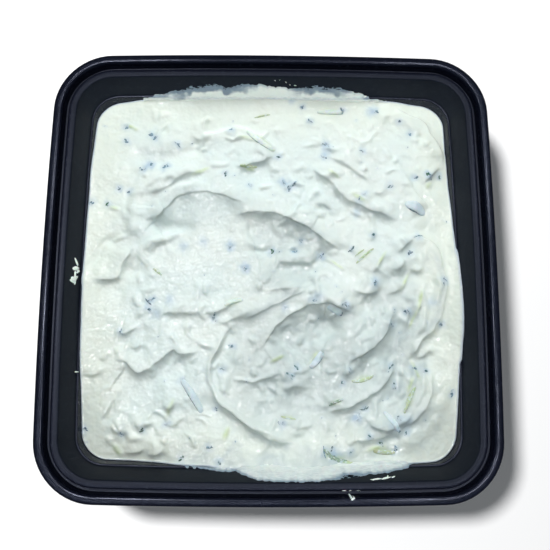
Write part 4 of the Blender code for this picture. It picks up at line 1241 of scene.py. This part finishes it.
BLOBS = [
    ("left", 3.6, 9.4, 2.1, 0.5, 139, 0.35), ("left", 0.7, 9.2, 2.4, 0.95, 80, 0.5),
    ("left", -0.2, 10.8, 1.1, 0.6, 60, 0.4), ("left", -1.6, 9.0, 1.3, 0.6, 0, 0.4),
    ("left", -3.6, 8.5, 2.0, 1.0, 95, 0.5), ("left", -4.6, 7.3, 1.6, 0.55, 110, 0.4),
    ("left", -2.8, 9.9, 1.1, 0.6, 60, 0.4), ("left", -5.0, 9.2, 0.9, 0.45, 20, 0.35),
    ("left", -40.9, 12.4, 0.9, 0.25, 90, 0.3), ("far", 1.4, 4.6, 0.6, 0.2, 20, 0.15),
    ("far", 3.4, 4.2, 0.5, 0.18, -30, 0.15), ("far", 6.0, 5.4, 0.7, 0.2, 60, 0.15),
    ("far", 7.8, 6.9, 0.5, 0.2, 80, 0.15), ("far", 10.0, 7.3, 0.6, 0.2, 10, 0.15),
    ("far", 31, 12.9, 3.2, 0.5, 0, 0.4), ("far", 36.5, 12.7, 4.5, 0.5, 0, 0.4),
    ("far", 35.3, 11.6, 0.6, 0.9, 0, 0.3), ("far", 52, 16.2, 0.8, 1.0, 0, 0.5),
    ("near", 41.0, 4.4, 2.2, 0.5, 8, 0.35), ("near", 44.5, 4.9, 2.4, 0.6, 20, 0.4),
    ("near", 47.5, 5.6, 1.1, 0.4, 40, 0.3), ("near", 39.2, 3.9, 0.9, 0.35, -20, 0.3),
    ("near", 45.5, 6.2, 0.8, 0.3, 70, 0.3), ("top", 28.0, -84.3, 0.9, 0.25, 0, 0.2),
    ("top", 30.5, -84.5, 0.5, 0.5, 0, 0.2), ("top", 33.2, -84.4, 1.1, 0.25, 5, 0.2),
    ("top", 31.2, -86.6, 0.9, 0.4, 30, 0.25), ("top", 30.4, -86.2, 0.5, 0.3, -30, 0.2),
]
for entry in BLOBS:
    blob(bm, thin_layer, *entry)
smears = finish_object(bm, "yoghurt_smears")
for call, name in ((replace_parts, "dip"), (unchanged, "dip"), (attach, "root")):
    call(smears, name)
print("smears:", len(smears.data.polygons), "faces")

# %% [markdown]
# Where a film is thick it is as white as the dip. Where it is thin the black wall shows through,
# which turns it grey-blue, and in places the spoon wiped it off in streaks along the wall, which the
# alpha cuts out. The walls turn the films away from the main lamp, so they have a lamp of their own
# in front.

# %% Thin yoghurt
film_finish = Finish("thin yoghurt", IOR=1.4, Subsurface_Weight=0.15, Subsurface_Scale=0.001)
thin = film_finish.attribute("thin")
drawn_along = {"Vector": film_finish.place(), "Scale": (0.3, 1.0, 1.0)}
where = film_finish.node("ShaderNodeMapping", None, drawn_along)["Vector"]
streaks = film_finish.noise(1500.0, 4.0, 0.6, where)
worn = film_finish.between(thin + 0.35 * (streaks - 0.5), 0.10, 0.85)
film_finish.set("Base Color", film_finish.mix(worn, (0.80, 0.875, 0.83), (0.19, 0.26, 0.32)))
film_finish.set("Alpha", 1 - film_finish.between(thin * streaks, 0.50, 0.58))
film_finish.set("Roughness", 0.25 + 0.2 * streaks)
film_finish.bump(streaks, 0.0002, 0.5)
smears.data.materials.append(film_finish.material)
only_for(lamp("film lamp", (0, -0.45, 0.40), 0.30, 1.6), smears)
print("thin yoghurt:", len(film_finish.nodes), "nodes")

# %% [markdown]
# ## Marks on the lip
#
# The mould and the stacking left short nicks across the lip and a scratch on its left side. They are
# narrow raised burrs of the same plastic: a mark this small shows only by the glint on it.

# %% Burrs
BURRS = [
    ((-42.5, 89.2), (-42.5, 86.6), 0.5), ((-2, 89.5), (-2, 86.8), 0.5), ((39.8, 88.8), (39.8, 86), 0.5),
    ((-89.6, 4.6), (-87.2, 4.8), 0.5), ((-89.4, -42), (-86.8, -42), 0.5),
    ((88.8, 46), (86.4, 46.2), 0.5), ((89.8, -44), (87, -44), 0.5), ((-47, -89), (-47, -86.4), 0.5),
    ((-3, -89.6), (-3, -87), 0.5), ((44.5, -89), (44.5, -86.5), 0.5), ((-89.2, 6.2), (-88.6, 3.2), 0.3),
    ((-88.6, 3.4), (-87.8, 5.4), 0.3),
]
bm = bmesh.new()
gloss_layer = bm.verts.layers.float.new("gloss")
for start, end, width in BURRS:
    for vert in drawn_out(bm, start, end, width, 0.14, 0.1, 8, 8, 0.6, tray_tree)[0]:
        vert[gloss_layer] = 1.3
        vert.co.z = min(vert.co.z, TRAY_HEIGHT * MM)
bmesh.ops.recalc_face_normals(bm, faces=bm.faces)
burrs = finish_object(bm, "lip_burrs")
for call, name in ((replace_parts, "tray"), (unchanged, "tray"), (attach, "root")):
    call(burrs, name)
burrs.data.materials.append(plastic.material)
print("burrs:", len(BURRS))
